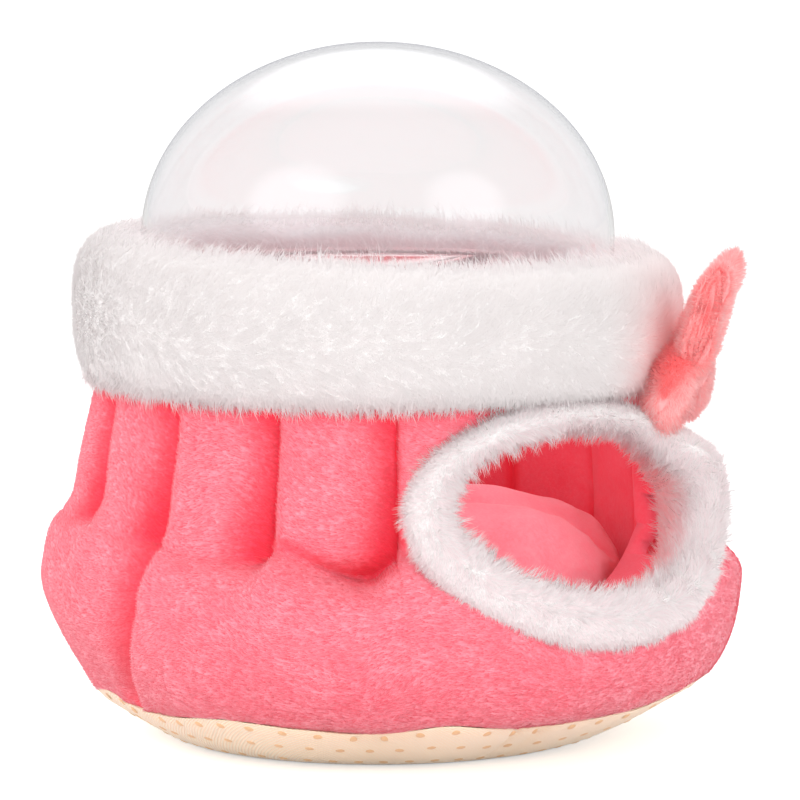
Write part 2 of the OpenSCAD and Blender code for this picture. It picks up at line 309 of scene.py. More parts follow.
def noise_node(nt, vector, size, detail=2.0, rough=0.5, stretch=None):
    """A noise texture with features of that size in millimetres, from object coordinates."""
    if stretch is not None:
        vector = node(nt, "Mapping", Vector=vector, Scale=stretch).outputs["Vector"]
    scale = 1000.0 / size
    return node(nt, "TexNoise", Vector=vector, Scale=scale, Detail=detail, Roughness=rough).outputs["Fac"]


def ramp(nt, fac, low, high, to_low=0.0, to_high=1.0):
    m = node(nt, "MapRange", clamp=True, Value=fac, From_Min=low, From_Max=high, To_Min=to_low, To_Max=to_high)
    return m.outputs["Result"]


def mix_rgb(nt, fac, a, b):
    """A colour between a and b; each may be a socket or a plain value."""
    m = node(nt, "Mix", data_type="RGBA")
    for k, value in ((0, fac), (6, a), (7, b)):
        feed(nt, m.inputs[k], value)
    return m.outputs[2]


def mix_shader(nt, fac, a, b):
    m = node(nt, "MixShader")
    for socket, value in zip(m.inputs, (fac, a, b)):
        feed(nt, socket, value)
    return m.outputs[0]


def maths(nt, operation, a, b):
    m = node(nt, "Math", operation=operation)
    feed(nt, m.inputs[0], a)
    feed(nt, m.inputs[1], b)
    return m.outputs[0]


def weighted(nt, a, share_a, b, share_b):
    return maths(nt, "ADD", maths(nt, "MULTIPLY", a, share_a), maths(nt, "MULTIPLY", b, share_b))


def attribute(nt, name, output="Fac"):
    return node(nt, "Attribute", attribute_name=name).outputs[output]


def object_place(nt):
    return node(nt, "TexCoord").outputs["Object"]


def lit(nt, colour, height=None, strength=0.0, distance=0.0003, **finish):
    """The main shader with that colour and finish, and bump where height is given."""
    p = node(nt, "BsdfPrincipled", Base_Color=colour, **finish)
    if height is not None:
        b = node(nt, "Bump", Strength=strength, Distance=distance, Height=height)
        nt.links.new(b.outputs["Normal"], p.inputs["Normal"])
    return p.outputs["BSDF"]


def plush(name, base, pale, painted_shade_colour, bump=0.5, sheen=0.35, nap=(1.0, 1.0, 1.0), rim=None):
    """Short plush pile: brushed pale patches, fine strokes, a painted sheen at grazing angles and painted
    shade.
    """
    mat, nt = new_material(name)
    co = object_place(nt)
    brushed = ramp(nt, noise_node(nt, co, 9.0, 3.0, 0.6), 0.35, 0.7)
    strokes = ramp(nt, noise_node(nt, co, 0.9, 3.0, 0.65, nap), 0.3, 0.72)
    colour = mix_rgb(nt, weighted(nt, brushed, 0.35, strokes, 0.45), base, pale)
    # Painted sheen: paler where the surface turns away, as pile seen along its tips looks
    facing = node(nt, "LayerWeight", Blend=0.5).outputs["Facing"]
    colour = mix_rgb(nt, ramp(nt, facing, 0.35, 1.0, 0.0, 0.5), colour, pale)
    # Painted shade: the deeper colour where the mesh's shade attribute is high
    colour = mix_rgb(nt, attribute(nt, "crease"), colour, painted_shade_colour)
    if rim:
        # The edge under the dome, where the collar's fur turns in
        height = node(nt, "SeparateXYZ", Vector=co).outputs["Z"]
        colour = mix_rgb(nt, ramp(nt, height, (RIM_Z - 11) / 1000, (RIM_Z - 5.5) / 1000), colour, rim)
    fine = noise_node(nt, co, 0.8, 4.0, 0.7, nap)
    show(nt, lit(
        nt, colour, fine, bump, Roughness=0.9, Specular_IOR_Level=0.15,
        Sheen_Weight=sheen, Sheen_Roughness=0.45,
        Sheen_Tint=(1.0, 0.82, 0.84),
    ))
    return mat


def pile(name, root, tip, painted_shade_colour, through=0.3):
    """Fibres: the attribute tone runs from 0 at a root to 1 at a pale tip."""
    mat, nt = new_material(name)
    colour = mix_rgb(nt, attribute(nt, "tone"), root, tip)
    # Painted shade, and on white fur painted pink bounce light, from the mesh's shade attribute
    colour = mix_rgb(nt, maths(nt, "MULTIPLY", attribute(nt, "crease"), 0.85), colour, painted_shade_colour)
    front = lit(nt, colour, Roughness=0.85, Specular_IOR_Level=0.15, Sheen_Weight=0.15, Sheen_Roughness=0.5)
    show(nt, mix_shader(nt, through, front, node(nt, "BsdfTranslucent", Color=colour).outputs["BSDF"]))
    return mat


def fur_base(name):
    mat, nt = new_material(name)
    co = object_place(nt)
    tufts = ramp(nt, noise_node(nt, co, 3.0, 3.0, 0.6), 0.3, 0.7)
    colour = mix_rgb(nt, tufts, (0.76, 0.725, 0.725), (0.81, 0.79, 0.79))
    # Painted pink: bounce light from the bow on the collar, and shade against the coral wall on the trim
    colour = mix_rgb(nt, attribute(nt, "crease"), colour, PAINTED_PINK_BOUNCE)
    fine = noise_node(nt, co, 1.2, 4.0, 0.7)
    show(nt, lit(nt, colour, fine, 0.6, 0.001, Roughness=0.95, Specular_IOR_Level=0.1))
    return mat


# Each plush: a colour, a paler one, and a deeper one for painted shade; the pink is painted bounce light on
# white fur
CORAL = (0.875, 0.15, 0.21)
CORAL_PALE = (0.905, 0.41, 0.48)
CORAL_PAINTED_SHADE = (0.88, 0.045, 0.085)
SALMON = (1.0, 0.39, 0.395)
SALMON_PALE = (0.99, 0.58, 0.58)
SALMON_PAINTED_SHADE = (0.97, 0.17, 0.18)
PAINTED_PINK_BOUNCE = (0.98, 0.50, 0.50)

wall_mat = plush("coral_plush_look", CORAL, CORAL_PALE, CORAL_PAINTED_SHADE, bump=0.8, nap=(0.5, 0.5, 1.5))
inside_mat = plush(
    "lining_plush_look", (1.0, 0.10, 0.155), (1.0, 0.19, 0.25), (0.95, 0.04, 0.07),
    bump=0.6, sheen=0.1, rim=(0.99, 0.86, 0.87),
)
cushion_mat = plush(
    "cushion_plush_look", (0.97, 0.22, 0.28), (0.98, 0.38, 0.45), (0.92, 0.07, 0.11), bump=0.6, sheen=0.15
)
bow_mat = plush("bow_plush_look", SALMON, SALMON_PALE, SALMON_PAINTED_SHADE, bump=0.6)
wall_pile_mat = pile("coral_pile_look", (0.85, 0.105, 0.16), (0.91, 0.43, 0.50), CORAL_PAINTED_SHADE)
bow_pile_mat = pile("bow_pile_look", (0.98, 0.28, 0.29), (1.0, 0.80, 0.79), SALMON_PAINTED_SHADE)
# On white fur the deeper colour is painted pink bounce light in shade
wisp_mat = pile("fur_wisp_look", (0.86, 0.82, 0.825), (0.95, 0.92, 0.92), PAINTED_PINK_BOUNCE, 0.5)
fur_mat = pile("white_fur_look", (0.81, 0.775, 0.775), (0.86, 0.84, 0.84), PAINTED_PINK_BOUNCE, 0.35)
trim_fur_mat = pile("trim_fur_look", (0.87, 0.76, 0.775), (0.92, 0.855, 0.865), (0.98, 0.52, 0.55), 0.35)
fur_base_mat = fur_base("fur_backing_look")


# The padded wall

def off_front(theta):
    d = theta - FRONT
    return d - 360 * np.round(d / 360)


def channel_phase(theta):
    u = off_front(theta) / PITCH + 0.5
    return u - np.floor(u)


def pillow(f):
    return np.maximum(0, 1 - np.abs(2 * f - 1) ** 2.2) ** 0.6


def frontness(theta):
    return 1 - smooth((np.abs(off_front(theta)) - 55) / 55)


def valley(theta, angle, width):
    return np.exp(-(((np.abs(off_front(theta)) - angle) / width) ** 2))


def crispness(theta):
    """1 where the channels end in a sharp fold above the bolster, 0 where they run into it softly."""
    return 1 - smooth((np.abs(off_front(theta)) - 56) / 8)


def bolster_end(theta):
    """Height at which the bolster ends.

    The channels near the entrance hang over it, lowest towards their far edge.
    """
    f = channel_phase(theta)
    hang = 0.55 - smooth(f / 0.72) * (1 - smooth((f - 0.78) / 0.22) * 0.6)
    even = 0.5 - pillow(f)
    sag = BOLSTER_SAG * mix(even * 0.4, 2.2 * hang, crispness(theta))
    return BOLSTER_TOP_Z - BOLSTER_DIP * frontness(theta) + sag


def bump_at(theta, angle, width):
    d = off_front(theta) - angle
    return np.exp(-((d / width) ** 2))


def hem_z(theta):
    """Height of the seam at the foot, which waves and rises on the bow's side."""
    wave = 2.6 * bump_at(theta, -66, 13) + 2.4 * bump_at(theta, -27, 7) + 2.2 * bump_at(theta, -113, 9)
    rise = 6.2 * bump_at(theta, 33, 16) + 2.5 * bump_at(theta, 75, 18)
    return FLOOR_Z + 0.4 + wave + rise + 0.9 * ring_noise(theta, 11, 8)


def hem_r(theta):
    """Radius of the body at the floor: the foot stands a little towards the bow's side."""
    return HEM_R - 1.2 + 1.6 * cosd(theta + 40)


def bolster_r(theta, z):
    w = frontness(theta)
    high = clamp01((z - BOLSTER_PEAK_Z) / (bolster_end(theta) - BOLSTER_PEAK_Z))
    low = clamp01((BOLSTER_PEAK_Z - z) / BOLSTER_PEAK)
    cone = 1 - low**1.5
    round_low = np.sqrt(np.maximum(0, 1 - low * low))
    fill = np.maximum(0, 1 - high**2.4) ** 0.6 * mix(cone, round_low, w)
    peak_r = HEM_R + BOLSTER_OUT + BOLSTER_FRONT * w
    return mix(hem_r(theta), peak_r, fill) - 16 * smooth((z - bolster_end(theta)) / 8)


def crest_r(z):
    t = (z - BOLSTER_TOP_Z) / (COLLAR_Z - SQUEEZE_H - BOLSTER_TOP_Z)
    squeeze = smooth((z - COLLAR_Z + SQUEEZE_H) / SQUEEZE_H)
    tuck = 20 * smooth((BOLSTER_TOP_Z - z) / 24)
    return mix(mix(WAIST_D, NECK_D, clamp01(t)) / 2, RIM_R, squeeze) - tuck


def quilt_depth(z):
    depth = PUFF * mix(1, 0.75, clamp01((z - BOLSTER_TOP_Z) / (COLLAR_Z - BOLSTER_TOP_Z)))
    return depth * (1 - smooth((z - COLLAR_Z + SQUEEZE_H) / SQUEEZE_H))


def panel_at(z):
    return PANEL_ANGLE + 13 * clamp01((BOLSTER_PEAK_Z - z) / BOLSTER_PEAK) ** 1.2


def fold(f):
    """Section of a channel that overlaps the next: steep and round at 0, and sinking slowly towards 1."""
    rise = np.maximum(0, 1 - (1 - clamp01(f / 0.35)) ** 2.3) ** 0.4
    fall = np.maximum(0, 1 - clamp01((f - 0.35) / 0.65) ** 2.0) ** 0.8
    return np.where(f < 0.35, rise, fall)


def panel_valley(theta, z, narrow, wide):
    """Valley of a panel seam: narrow on the side of the entrance, wide on the other."""
    s = np.abs(off_front(theta)) - panel_at(z)
    return np.exp(-((s / np.where(s < 0, narrow, wide)) ** 2))


def outer_r(theta, z):
    wall = crest_r(z) - quilt_depth(z) * (1 - fold(channel_phase(theta)))
    body = soft_max(wall, bolster_r(theta, z), mix(21.0, 3.0, crispness(theta)))
    on_bolster = clamp01((z - FLOOR_Z + 2) / 6) * clamp01((bolster_end(theta) + 6 - z) / 10)
    gather = 1.5 * valley(theta, panel_at(z) + 12, 5) + (PANEL_SEAM + 0.5) * panel_valley(theta, z, 1.3, 6.5)
    return body - on_bolster * gather


def inner_r(theta, z):
    t = (z - FLOOR_Z) / WALL_H
    ends = smooth(t / 0.12) * smooth((1 - t) / 0.16)
    quilt = INNER_PUFF * ends * pillow(channel_phase(theta))
    return mix(INNER_D / 2, RIM_INNER_R, t) + INNER_BELLY * sind(180 * t) - quilt


def seam_distance(theta, r):
    """Distance in millimetres to the nearest seam between channels."""
    f = channel_phase(theta)
    return np.minimum(f, 1 - f) * PITCH * math.pi / 180 * r


def wall_angles(per_channel):
    """Angles round the wall, closer together at the seams."""
    s = np.arange(per_channel) / per_channel
    f = mix(s, s * s * (3 - 2 * s), 0.6)
    k = np.arange(CHANNELS)
    return (FRONT + PITCH * (k[:, None] + 0.5 + f[None, :])).reshape(-1)


def wall_detail(theta, z, r):
    """Small dents, puckers and gathers of the cover, along the radius."""
    p = on_ring(r, theta, z)
    d = 1.0 * noise(p, 30, 1) + 0.30 * noise(p, 13, 2) + 0.06 * noise(p, 5, 3)
    near = np.exp(-seam_distance(theta, r) / 5.0)
    above = smooth((z - bolster_end(theta) + 4) / 8)
    d = d + near * above * 0.35 * noise(np.stack([theta * 0.6, z, z * 0], -1), 5.5, 4)
    # Gathers under the collar
    neck = smooth((z - COLLAR_Z + 14) / 12) * (1 - smooth((z - COLLAR_Z + 1) / 2))
    slant = theta + 0.5 * (z - COLLAR_Z)
    d = d + neck * 1.0 * ring_noise(slant, 3.4, 5)
    # The cover is gathered into the seam at the foot
    foot = 1 - smooth((z - hem_z(theta)) / 8)
    d = d + foot * 0.7 * ring_noise(theta, 4.2, 6)
    return d


def painted_shade_at(theta, z, r):
    """How much painted shade a point takes, from 0 to 1: in seams, along the fold above the bolster, and under
    the collar.
    """
    above = smooth((z - bolster_end(theta) + 2) / 4)
    f = channel_phase(theta)
    low_end = np.exp(-((np.maximum(z - bolster_end(theta), 0) / 16) ** 2))
    seam = smooth((f - 0.55 + 0.12 * low_end) / 0.45) ** 1.2 * (0.8 + 0.2 * low_end)
    seam = (seam + smooth((f - 0.955) / 0.045) * 0.2) * above
    edge = np.exp(-f * PITCH * math.pi / 180 * r / 0.5) * above * 0.8
    line = np.exp(-(((z - bolster_end(theta) - 1.6) / 2.0) ** 2)) * crispness(theta) * 0.6
    panel = panel_valley(theta, z, 0.35, 6.0) * smooth((z - FLOOR_Z + 1) / 4) * (1 - above) * 0.85
    # Painted shade under the collar's overhang
    under = np.exp(-np.maximum(COLLAR_Z - 1.5 - z, 0) / 2.5) * 0.5
    return clamp01(seam + edge + line + panel + under)


cover_angles = wall_angles(40)
cover_low = np.linspace(0, 1, 40) ** 0.9
cover_high = np.linspace(0, 1, 38)[1:]


def cover_grid():
    a = cover_angles[None, :]
    rows = []
    for share in cover_low:
        rows.append(mix(hem_z(cover_angles), bolster_end(cover_angles), share))
    for share in cover_high:
        rows.append(mix(bolster_end(cover_angles), COLLAR_Z + 6, share))
    z = np.stack(rows)
    theta = np.broadcast_to(a, z.shape)
    r = outer_r(theta, z)
    return theta, z, r + wall_detail(theta, z, r), r


c_theta, c_z, c_r, c_r0 = cover_grid()
cover_points = on_ring(c_r, c_theta, c_z)
# Painted shade of the cover, for its colour
cover_painted_shade = painted_shade_at(c_theta, c_z, c_r0)

inner_angles = wall_angles(20)
inner_z = np.concatenate([[FLOOR_Z], FLOOR_Z + WALL_H * np.linspace(0.02, 0.99, 46)])
i_theta, i_z = np.broadcast_arrays(inner_angles[None, :], inner_z[:, None])
i_r = inner_r(i_theta, i_z)
i_p = on_ring(i_r, i_theta, i_z)
i_r = i_r + 0.5 * noise(i_p, 16, 21) + 0.25 * noise(i_p, 6, 22)
inside_points = on_ring(i_r, i_theta, i_z)
# Irregular seams and puckers of the lining, with painted shade along the seams
along_seam = np.stack([i_theta * 0.4, i_z, i_z * 0], -1)
inside_shift = 2.5 * ring_noise(i_theta + 0.15 * i_z, 18, 23) + 1.2 * noise(along_seam, 12, 24)
inside_painted_shade = np.exp(-(((seam_distance(i_theta, i_r) + inside_shift) / 1.8) ** 2)) * 0.9
# A ledge carries the dome's flange
ledge = [
    [59.8, RIM_Z - 0.9], [58.6, RIM_Z - 0.5], [58.7, RIM_Z - 0.12], [60.0, RIM_Z - 0.1], [66.5, RIM_Z - 0.1],
    [RIM_R - 0.6, RIM_Z - 0.5], [RIM_R - 0.6, COLLAR_Z + 8],
]
ledge_points = np.stack([on_ring(r, inner_angles, z) for r, z in ledge])
inside_points = np.concatenate([inside_points, ledge_points])
inside_painted_shade = np.concatenate([inside_painted_shade, np.zeros(ledge_points.shape[:2])])


def wall_solid():
    """The cover and the inside as one closed mesh: out, over the top, and down the inside."""
    n_out, n_in = len(cover_angles), len(inner_angles)
    rows_out, rows_in = len(cover_points), len(inside_points)
    base = rows_out * n_out
    faces = list(grid_faces(rows_out, n_out)) + list(grid_faces(rows_in, n_in, flip=True) + base)
    # Rings that join the 2 to 1 columns at the top and at the foot
    k = np.arange(n_in)
    for out_row, in_row, up in ((rows_out - 1, rows_in - 1, True), (0, 0, False)):
        o = out_row * n_out
        i = base + in_row * n_in
        a, b, c = o + 2 * k, o + 2 * k + 1, o + (2 * k + 2) % n_out
        d, e = i + k, i + (k + 1) % n_in
        t = np.concatenate([np.stack(corners, -1) for corners in ((a, b, d), (b, e, d), (b, c, e))])
        faces += list(t if up else t[:, ::-1])
    verts = np.concatenate([cover_points.reshape(-1, 3), inside_points.reshape(-1, 3)])
    ob = add_mesh("wall_cover", verts, faces, wall_mat)
    put_attribute(ob, "crease", np.concatenate([cover_painted_shade.reshape(-1), inside_painted_shade.reshape(-1)]))
    return ob


def cut_with(ob, cutter):
    m = ob.modifiers.new("cut", "BOOLEAN")
    m.operation = "DIFFERENCE"
    m.object = cutter
    m.solver = "MANIFOLD"
    bpy.context.view_layer.objects.active = ob
    with bpy.context.temp_override(object=ob, active_object=ob, selected_objects=[ob]):
        bpy.ops.object.modifier_apply(modifier="cut")
    bpy.data.objects.remove(cutter)


def tunnel_cutter():
    t = circle(96)
    x, z = TRIM_MID_W * cosd(t), TRIM_MID_Z + TRIM_MID_H * sind(t)
    p = np.stack([np.stack([x, np.full_like(t, y), z], -1) for y in (-115.0, -40.0)])
    return add_mesh("tunnel_cutter", p, capped_faces(2, 96, flip=True), None)


def in_entrance(x, z, margin=0.0):
    """Below 1 within the oval of the entrance, grown by that margin."""
    return (x / (TRIM_MID_W + margin)) ** 2 + ((z - TRIM_MID_Z) / (TRIM_MID_H + margin)) ** 2


wall = wall_solid()
wall.data.materials.append(inside_mat)
cut_with(wall, tunnel_cutter())
centre = np.empty(len(wall.data.polygons) * 3, np.float32)
wall.data.polygons.foreach_get("center", centre)
face_x, face_y, face_z = (centre.reshape(-1, 3) / MM).T
lining_r = inner_r(np.degrees(np.arctan2(face_y, face_x)), face_z) + 3.0
is_inside = (np.hypot(face_x, face_y) < np.minimum(72.5, lining_r)) | (face_z > COLLAR_Z + 7)
is_inside |= (np.abs(in_entrance(face_x, face_z) - 1) < 0.03) & (face_y < 0)
wall.data.polygons.foreach_set("material_index", np.where(is_inside, 1, 0).astype(np.int32))
dress(wall, "padded_wall")


# Fibres

def worley(u, v, size, seed=5):
    """For points on a flat chart, the nearest jittered cell centre and a number for that cell."""
    cu, cv = np.floor(u / size), np.floor(v / size)
    best = np.full(u.shape, 1e9)
    bu, bv, bid = np.zeros_like(u), np.zeros_like(u), np.zeros_like(u)
    for du in (-1, 0, 1):
        for dv in (-1, 0, 1):
            iu, iv = cu + du, cv + dv
            h = PERM[(PERM[(iu.astype(np.int64) + seed * 13) & 255] + iv.astype(np.int64)) & 255]
            h2 = PERM[(h + 91 + seed) & 255]
            x = (iu + 0.5 + (h / 255 - 0.5) * 0.8) * size
            y = (iv + 0.5 + (h2 / 255 - 0.5) * 0.8) * size
            d = (x - u) ** 2 + (y - v) ** 2
            near = d < best
            best = np.where(near, d, best)
            bu, bv = np.where(near, x, bu), np.where(near, y, bv)
            bid = np.where(near, (h * 7 + h2) % 256 / 255, bid)
    return bu, bv, bid


def blade_facing(pts):
    return np.cross(pts[:, 1] - pts[:, 0], pts[:, -1] - pts[:, 0])


def fibres(name, slot, material, crease, root, normal, way, length, width, tone=None, bend=0.5, lay=0.8,
           spread=0.25, seed=1, keep=0.75, segments=2):
    """Tapered blades that leave the surface along its normal, lean along way and end in a point."""
    g = np.random.default_rng(seed)
    n = len(root)
    length = np.broadcast_to(length, n)[:, None]
    way = without(way, normal)
    scatter = g.normal(size=(n, 3)) * spread
    first = unit(normal + way * lay * bend + scatter * 0.6)
    last = unit(normal * (1 - bend * 0.6) + way * lay + scatter)
    side = np.cross(last, normal)
    side = unit(side + g.normal(size=(n, 3)) * 0.25)
    side = unit(without(side, last)) * width
    mid = root + first * length * 0.5
    tip = mid + last * length * 0.5
    pts = [root - side * 0.5, root + side * 0.5, tip]
    corners, sizes, turned, shares = [0, 1, 2], [3], [1, 0, 2], [0.0, 0.0, 1.0]
    if segments == 2:
        pts[2:2] = [mid + side * 0.42, mid - side * 0.42]
        corners, sizes = [0, 1, 2, 3, 3, 2, 4], [4, 3]
        turned, shares = [1, 0, 3, 2, 4], [0.0, 0.0, 0.55, 0.55, 1.0]
    pts = np.stack(pts, 1)
    # Each blade's face looks away from the surface
    wrong = (blade_facing(pts) * normal).sum(-1) < 0
    pts[wrong] = pts[wrong][:, turned]
    per_blade = len(shares)
    loops = (np.arange(n)[:, None] * per_blade + np.array(corners)).reshape(-1)
    ob = new_object(name, pts, loops, np.tile(sizes, n), material)
    soft = unit(mix(unit(blade_facing(pts)), normal, keep))
    ob.data.normals_split_custom_set_from_vertices(np.repeat(soft, per_blade, 0).astype(np.float32).tolist())
    tone = g.random(n) if tone is None else tone
    put_attribute(ob, "tone", clamp01(np.array(shares) * 0.6 + tone[:, None] * 0.5 - 0.05).reshape(-1))
    # Painted shade for the colour; on white fur it is painted pink bounce light
    put_attribute(ob, "crease", np.repeat(crease, per_blade))
    # Light passes between real fibres, so the blades cast no shadow
    ob.visible_shadow = False
    dress(ob)


def sample_grid(points, count, g, keep=1.0, closed=True):
    """Random places on a grid, evenly by area: row, column, and the way towards the next of each."""
    rows, cols = points.shape[:2]
    j, i = np.meshgrid(np.arange(rows - 1), np.arange(cols if closed else cols - 1), indexing="ij")
    i2 = (i + 1) % cols
    a, b, c, d = points[j, i], points[j, i2], points[j + 1, i2], points[j + 1, i]
    area = (np.linalg.norm(np.cross(c - a, d - b), axis=-1) * keep).reshape(-1)
    pick = np.minimum(np.searchsorted(np.cumsum(area), g.random(count) * area.sum()), len(area) - 1)
    jj, ii = np.unravel_index(pick, j.shape)
    s, t = g.random((2, count))
    return jj, ii, s, t


def at_places(grid, places):
    """The vectors of a grid at places that sample_grid gave."""
    jj, ii, s, t = places
    i2 = (ii + 1) % grid.shape[1]
    corners = (grid[jj, ii], grid[jj, i2], grid[jj + 1, i2], grid[jj + 1, ii])
    shares = ((1 - s) * (1 - t), s * (1 - t), s * t, (1 - s) * t)
    return sum(c * w[:, None] for c, w in zip(corners, shares))


UP = np.array([0, 0, 1.0])
FROM_AXIS = np.array([1.0, 1.0, 0])


def wall_pile():
    normals = turned_out(grid_normals(cover_points), cover_points * FROM_AXIS)
    x, y, z = (cover_points[..., k] for k in range(3))
    shown = ~((in_entrance(x, z, 1.0) < 1) & (y < 0)) & (z < COLLAR_Z + 2)
    places = sample_grid(cover_points, 180000, np.random.default_rng(31), shown[:-1])
    p, n = at_places(cover_points, places), unit(at_places(normals, places))
    across = unit(np.cross(UP, n))
    swirl = noise(p, 24, 33)[:, None] * 0.8
    on_channel = smooth((p[:, 2] - 58) / 10)[:, None]
    wave = noise(p, 9, 34)[:, None]
    down = 0.25 + 0.15 * on_channel + 1.1 * swirl + 0.5 * wave
    lean = unit(across * (1.0 + 0.3 * wave) - UP * down)
    length = 1.5 * (0.7 + 0.6 * np.random.default_rng(5).random(len(p)))
    # The pile takes the cover's painted shade
    fibres("wall_pile", "coral_plush", wall_pile_mat, cover_painted_shade[places[0], places[1]], p + n * 0.06, n, lean,
           length, 0.18, bend=0.8, lay=-4.0, spread=0.16, seed=6, keep=0.97, segments=1)


wall_pile()


# The collar

def painted_bounce_at(theta, z):
    """Painted pink bounce light that the bow throws on the fur next to it."""
    beside = smooth(1 - np.abs(off_front(theta) - BOW_ANGLE) / 34)
    return 0.95 * beside * np.exp(-(((z - 100) / 14) ** 2))


def resample(profile, step):
    """Points at even steps along an open profile, and how far along it each lies."""
    profile = np.asarray(profile, float)
    d = np.concatenate([[0], np.cumsum(np.linalg.norm(np.diff(profile, axis=0), axis=1))])
    s = np.linspace(0, d[-1], max(2, int(round(d[-1] / step)) + 1))
    return np.stack([np.interp(s, d, profile[:, k]) for k in range(2)], -1), s


def collar_r(z):
    t = clamp01((COLLAR_BELLY_Z - z) / COLLAR_FOOT_H)
    return COLLAR_CREST_R + (COLLAR_BELLY_R - COLLAR_CREST_R) * (1 - t**2.6) ** (1 / 2.6)


def full_arc(cx, cz, a, b, start, end, count):
    t = np.linspace(start, end, count + 1)
    c, s = cosd(t), sind(t)
    return np.stack([cx + a * np.sign(c) * np.abs(c) ** 0.86, cz + b * np.sign(s) * np.abs(s) ** 0.86], -1)


foot_z = mix(COLLAR_Z, COLLAR_BELLY_Z, np.linspace(0.0, 1, 24)[:-1])
belly_w = COLLAR_BELLY_R - COLLAR_CREST_R
belly_h = COLLAR_TOP_Z - COLLAR_BELLY_Z
collar_profile = np.concatenate(
    [
        [[RIM_R + 0.3, COLLAR_Z + 1.2], [RIM_R + 0.3, COLLAR_Z]],
        np.stack([collar_r(np.maximum(foot_z, COLLAR_Z + 0.7)), foot_z], -1)[1:],
        full_arc(COLLAR_CREST_R, COLLAR_BELLY_Z, belly_w, belly_h, 0, 90, 30),
        full_arc(COLLAR_CREST_R, LIP_Z, COLLAR_CREST_R - LIP_R, COLLAR_TOP_Z - LIP_Z, 92, 180, 14),
        [[LIP_R, RIM_Z + 1.6]],
    ]
)
collar_line, collar_s = resample(collar_profile, 1.0)
collar_angles = circle(COLLAR_COLS)
tangent = unit(np.gradient(collar_line, axis=0))
line_normal = np.stack([tangent[:, 1], -tangent[:, 0]], -1)
cl_theta, cl_s, cr, cz = np.broadcast_arrays(
    collar_angles[None, :], collar_s[:, None], collar_line[:, 0:1], collar_line[:, 1:2]
)
cp = on_ring(cr, cl_theta, cz)
ends = smooth(cl_s / 6) * smooth((collar_s[-1] - cl_s) / 5)
lump = (0.9 * noise(cp, 24, 41) + 0.2 * noise(cp, 8, 42)) * ends
# The collar stands higher at the back and lower at the bow, and keeps its foot and lip level
stand = (0.85 + 2.5 * cosd(cl_theta - 137)) * smooth((cz - COLLAR_Z - 4) / 26)
stand = stand * (1 - smooth((cl_s - collar_s[-1] + 9) / 8))
collar_points = on_ring(cr + line_normal[:, 0:1] * lump, cl_theta, cz + line_normal[:, 1:2] * lump + stand)
collar_normals = turned_out(grid_normals(collar_points), collar_points * FROM_AXIS, len(collar_s) // 3)
# Directions along its profile
collar_up = unit(without(np.gradient(collar_points, axis=0), collar_normals))

# Its underside rests on the dome's flange and on the wall
closing = [
    [LIP_R + 0.4, RIM_Z + 1.4], [RIM_R - 3, RIM_Z + 1.4], [RIM_R, RIM_Z + 0.8], [RIM_R + 0.5, COLLAR_Z + 9]
]
body_points = np.concatenate([collar_points, np.stack([on_ring(r, collar_angles, z) for r, z in closing])])
collar_body = add_mesh(
    "collar_body", body_points, grid_faces(len(body_points), COLLAR_COLS, close_rows=True), fur_base_mat
)
# Painted pink bounce light from the bow on the collar's backing
body_painted_bounce = painted_bounce_at(np.degrees(np.arctan2(body_points[..., 1], body_points[..., 0])), body_points[..., 2])
put_attribute(collar_body, "crease", body_painted_bounce.reshape(-1))
dress(collar_body, "collar")


def collar_fur(name, first, last, count, seed, edges=False):
    """Fine short fibres all over, or with edges longer wisps along the lower and upper edge."""
    g = np.random.default_rng(seed)
    span = np.arange(first, last + 1) % COLLAR_COLS
    at = collar_s[:-1, None]
    low_edge = np.exp(-(((at - 2.5) / 3.0) ** 2))
    high_edge = np.exp(-(((at - collar_s[-1] + 9.0) / 4.5) ** 2))
    keep = low_edge + 0.85 * high_edge if edges else 1.0
    places = sample_grid(collar_points[:, span], count, g, keep, closed=False)
    jj, ii, s, t = places
    root = at_places(collar_points[:, span], places)
    normal, up = (unit(at_places(grid[:, span], places)) for grid in (collar_normals, collar_up))
    theta = (first + ii + s) * 360 / COLLAR_COLS
    v = (jj + t) / (len(collar_s) - 1) * collar_s[-1]
    u = theta * math.pi / 180 * 75
    # Wisps: the fibres of a cell lean towards its middle
    bu, bv, cell = worley(u, v, 1.8 if edges else 3.6)
    round_way = unit(np.cross(UP, normal) + 1e-9)
    pull = round_way * (bu - u)[:, None] + up * (bv - v)[:, None]
    swirl = noise(root, 22, 44)
    turn = noise(root, 26, 45)
    if edges:
        stray = 0.5 * turn + 0.35 * g.normal(size=count)
        way = up * np.where(v < 20, -1.0, 0.9)[:, None] + round_way * stray[:, None] + pull * 0.22
        length = np.where(v < 20, 5.6, 7.4) * (0.55 + 0.5 * cell) * (0.45 + 0.75 * g.random(count))
        look, lift, width = wisp_mat, 0.3, 0.16
        habit = dict(bend=0.6, lay=1.3, spread=0.2, keep=0.93)
    else:
        where = smooth((v - 6) / 24) * 2 - 1
        comb = up * (where * 0.7 + 0.5 * swirl)[:, None] + round_way * (0.7 * turn + 0.6)[:, None]
        way = unit(comb) * (0.95 + 0.1 * cell)[:, None] + pull * 0.10
        length = 2.9 * (0.75 + 0.3 * cell) * (0.7 + 0.6 * g.random(count))
        look, lift, width = fur_mat, 0.1, 0.2
        habit = dict(bend=0.8, lay=2.4, spread=0.32, keep=0.97, segments=1)
    # Painted pink bounce light from the bow
    painted_bounce = painted_bounce_at(theta, root[:, 2])
    fibres(name, "collar_fur", look, painted_bounce, root - normal * lift, normal, way, length, width,
           tone=g.random(count), seed=seed + 1, **habit)


for k in range(3):
    collar_fur(f"collar_fur_{k + 1}", k * 180, k * 180 + 180, 58000, 50 + k)
collar_fur("collar_wisps", 0, COLLAR_COLS, 26000, 60, edges=True)


# The fur trim round the entrance

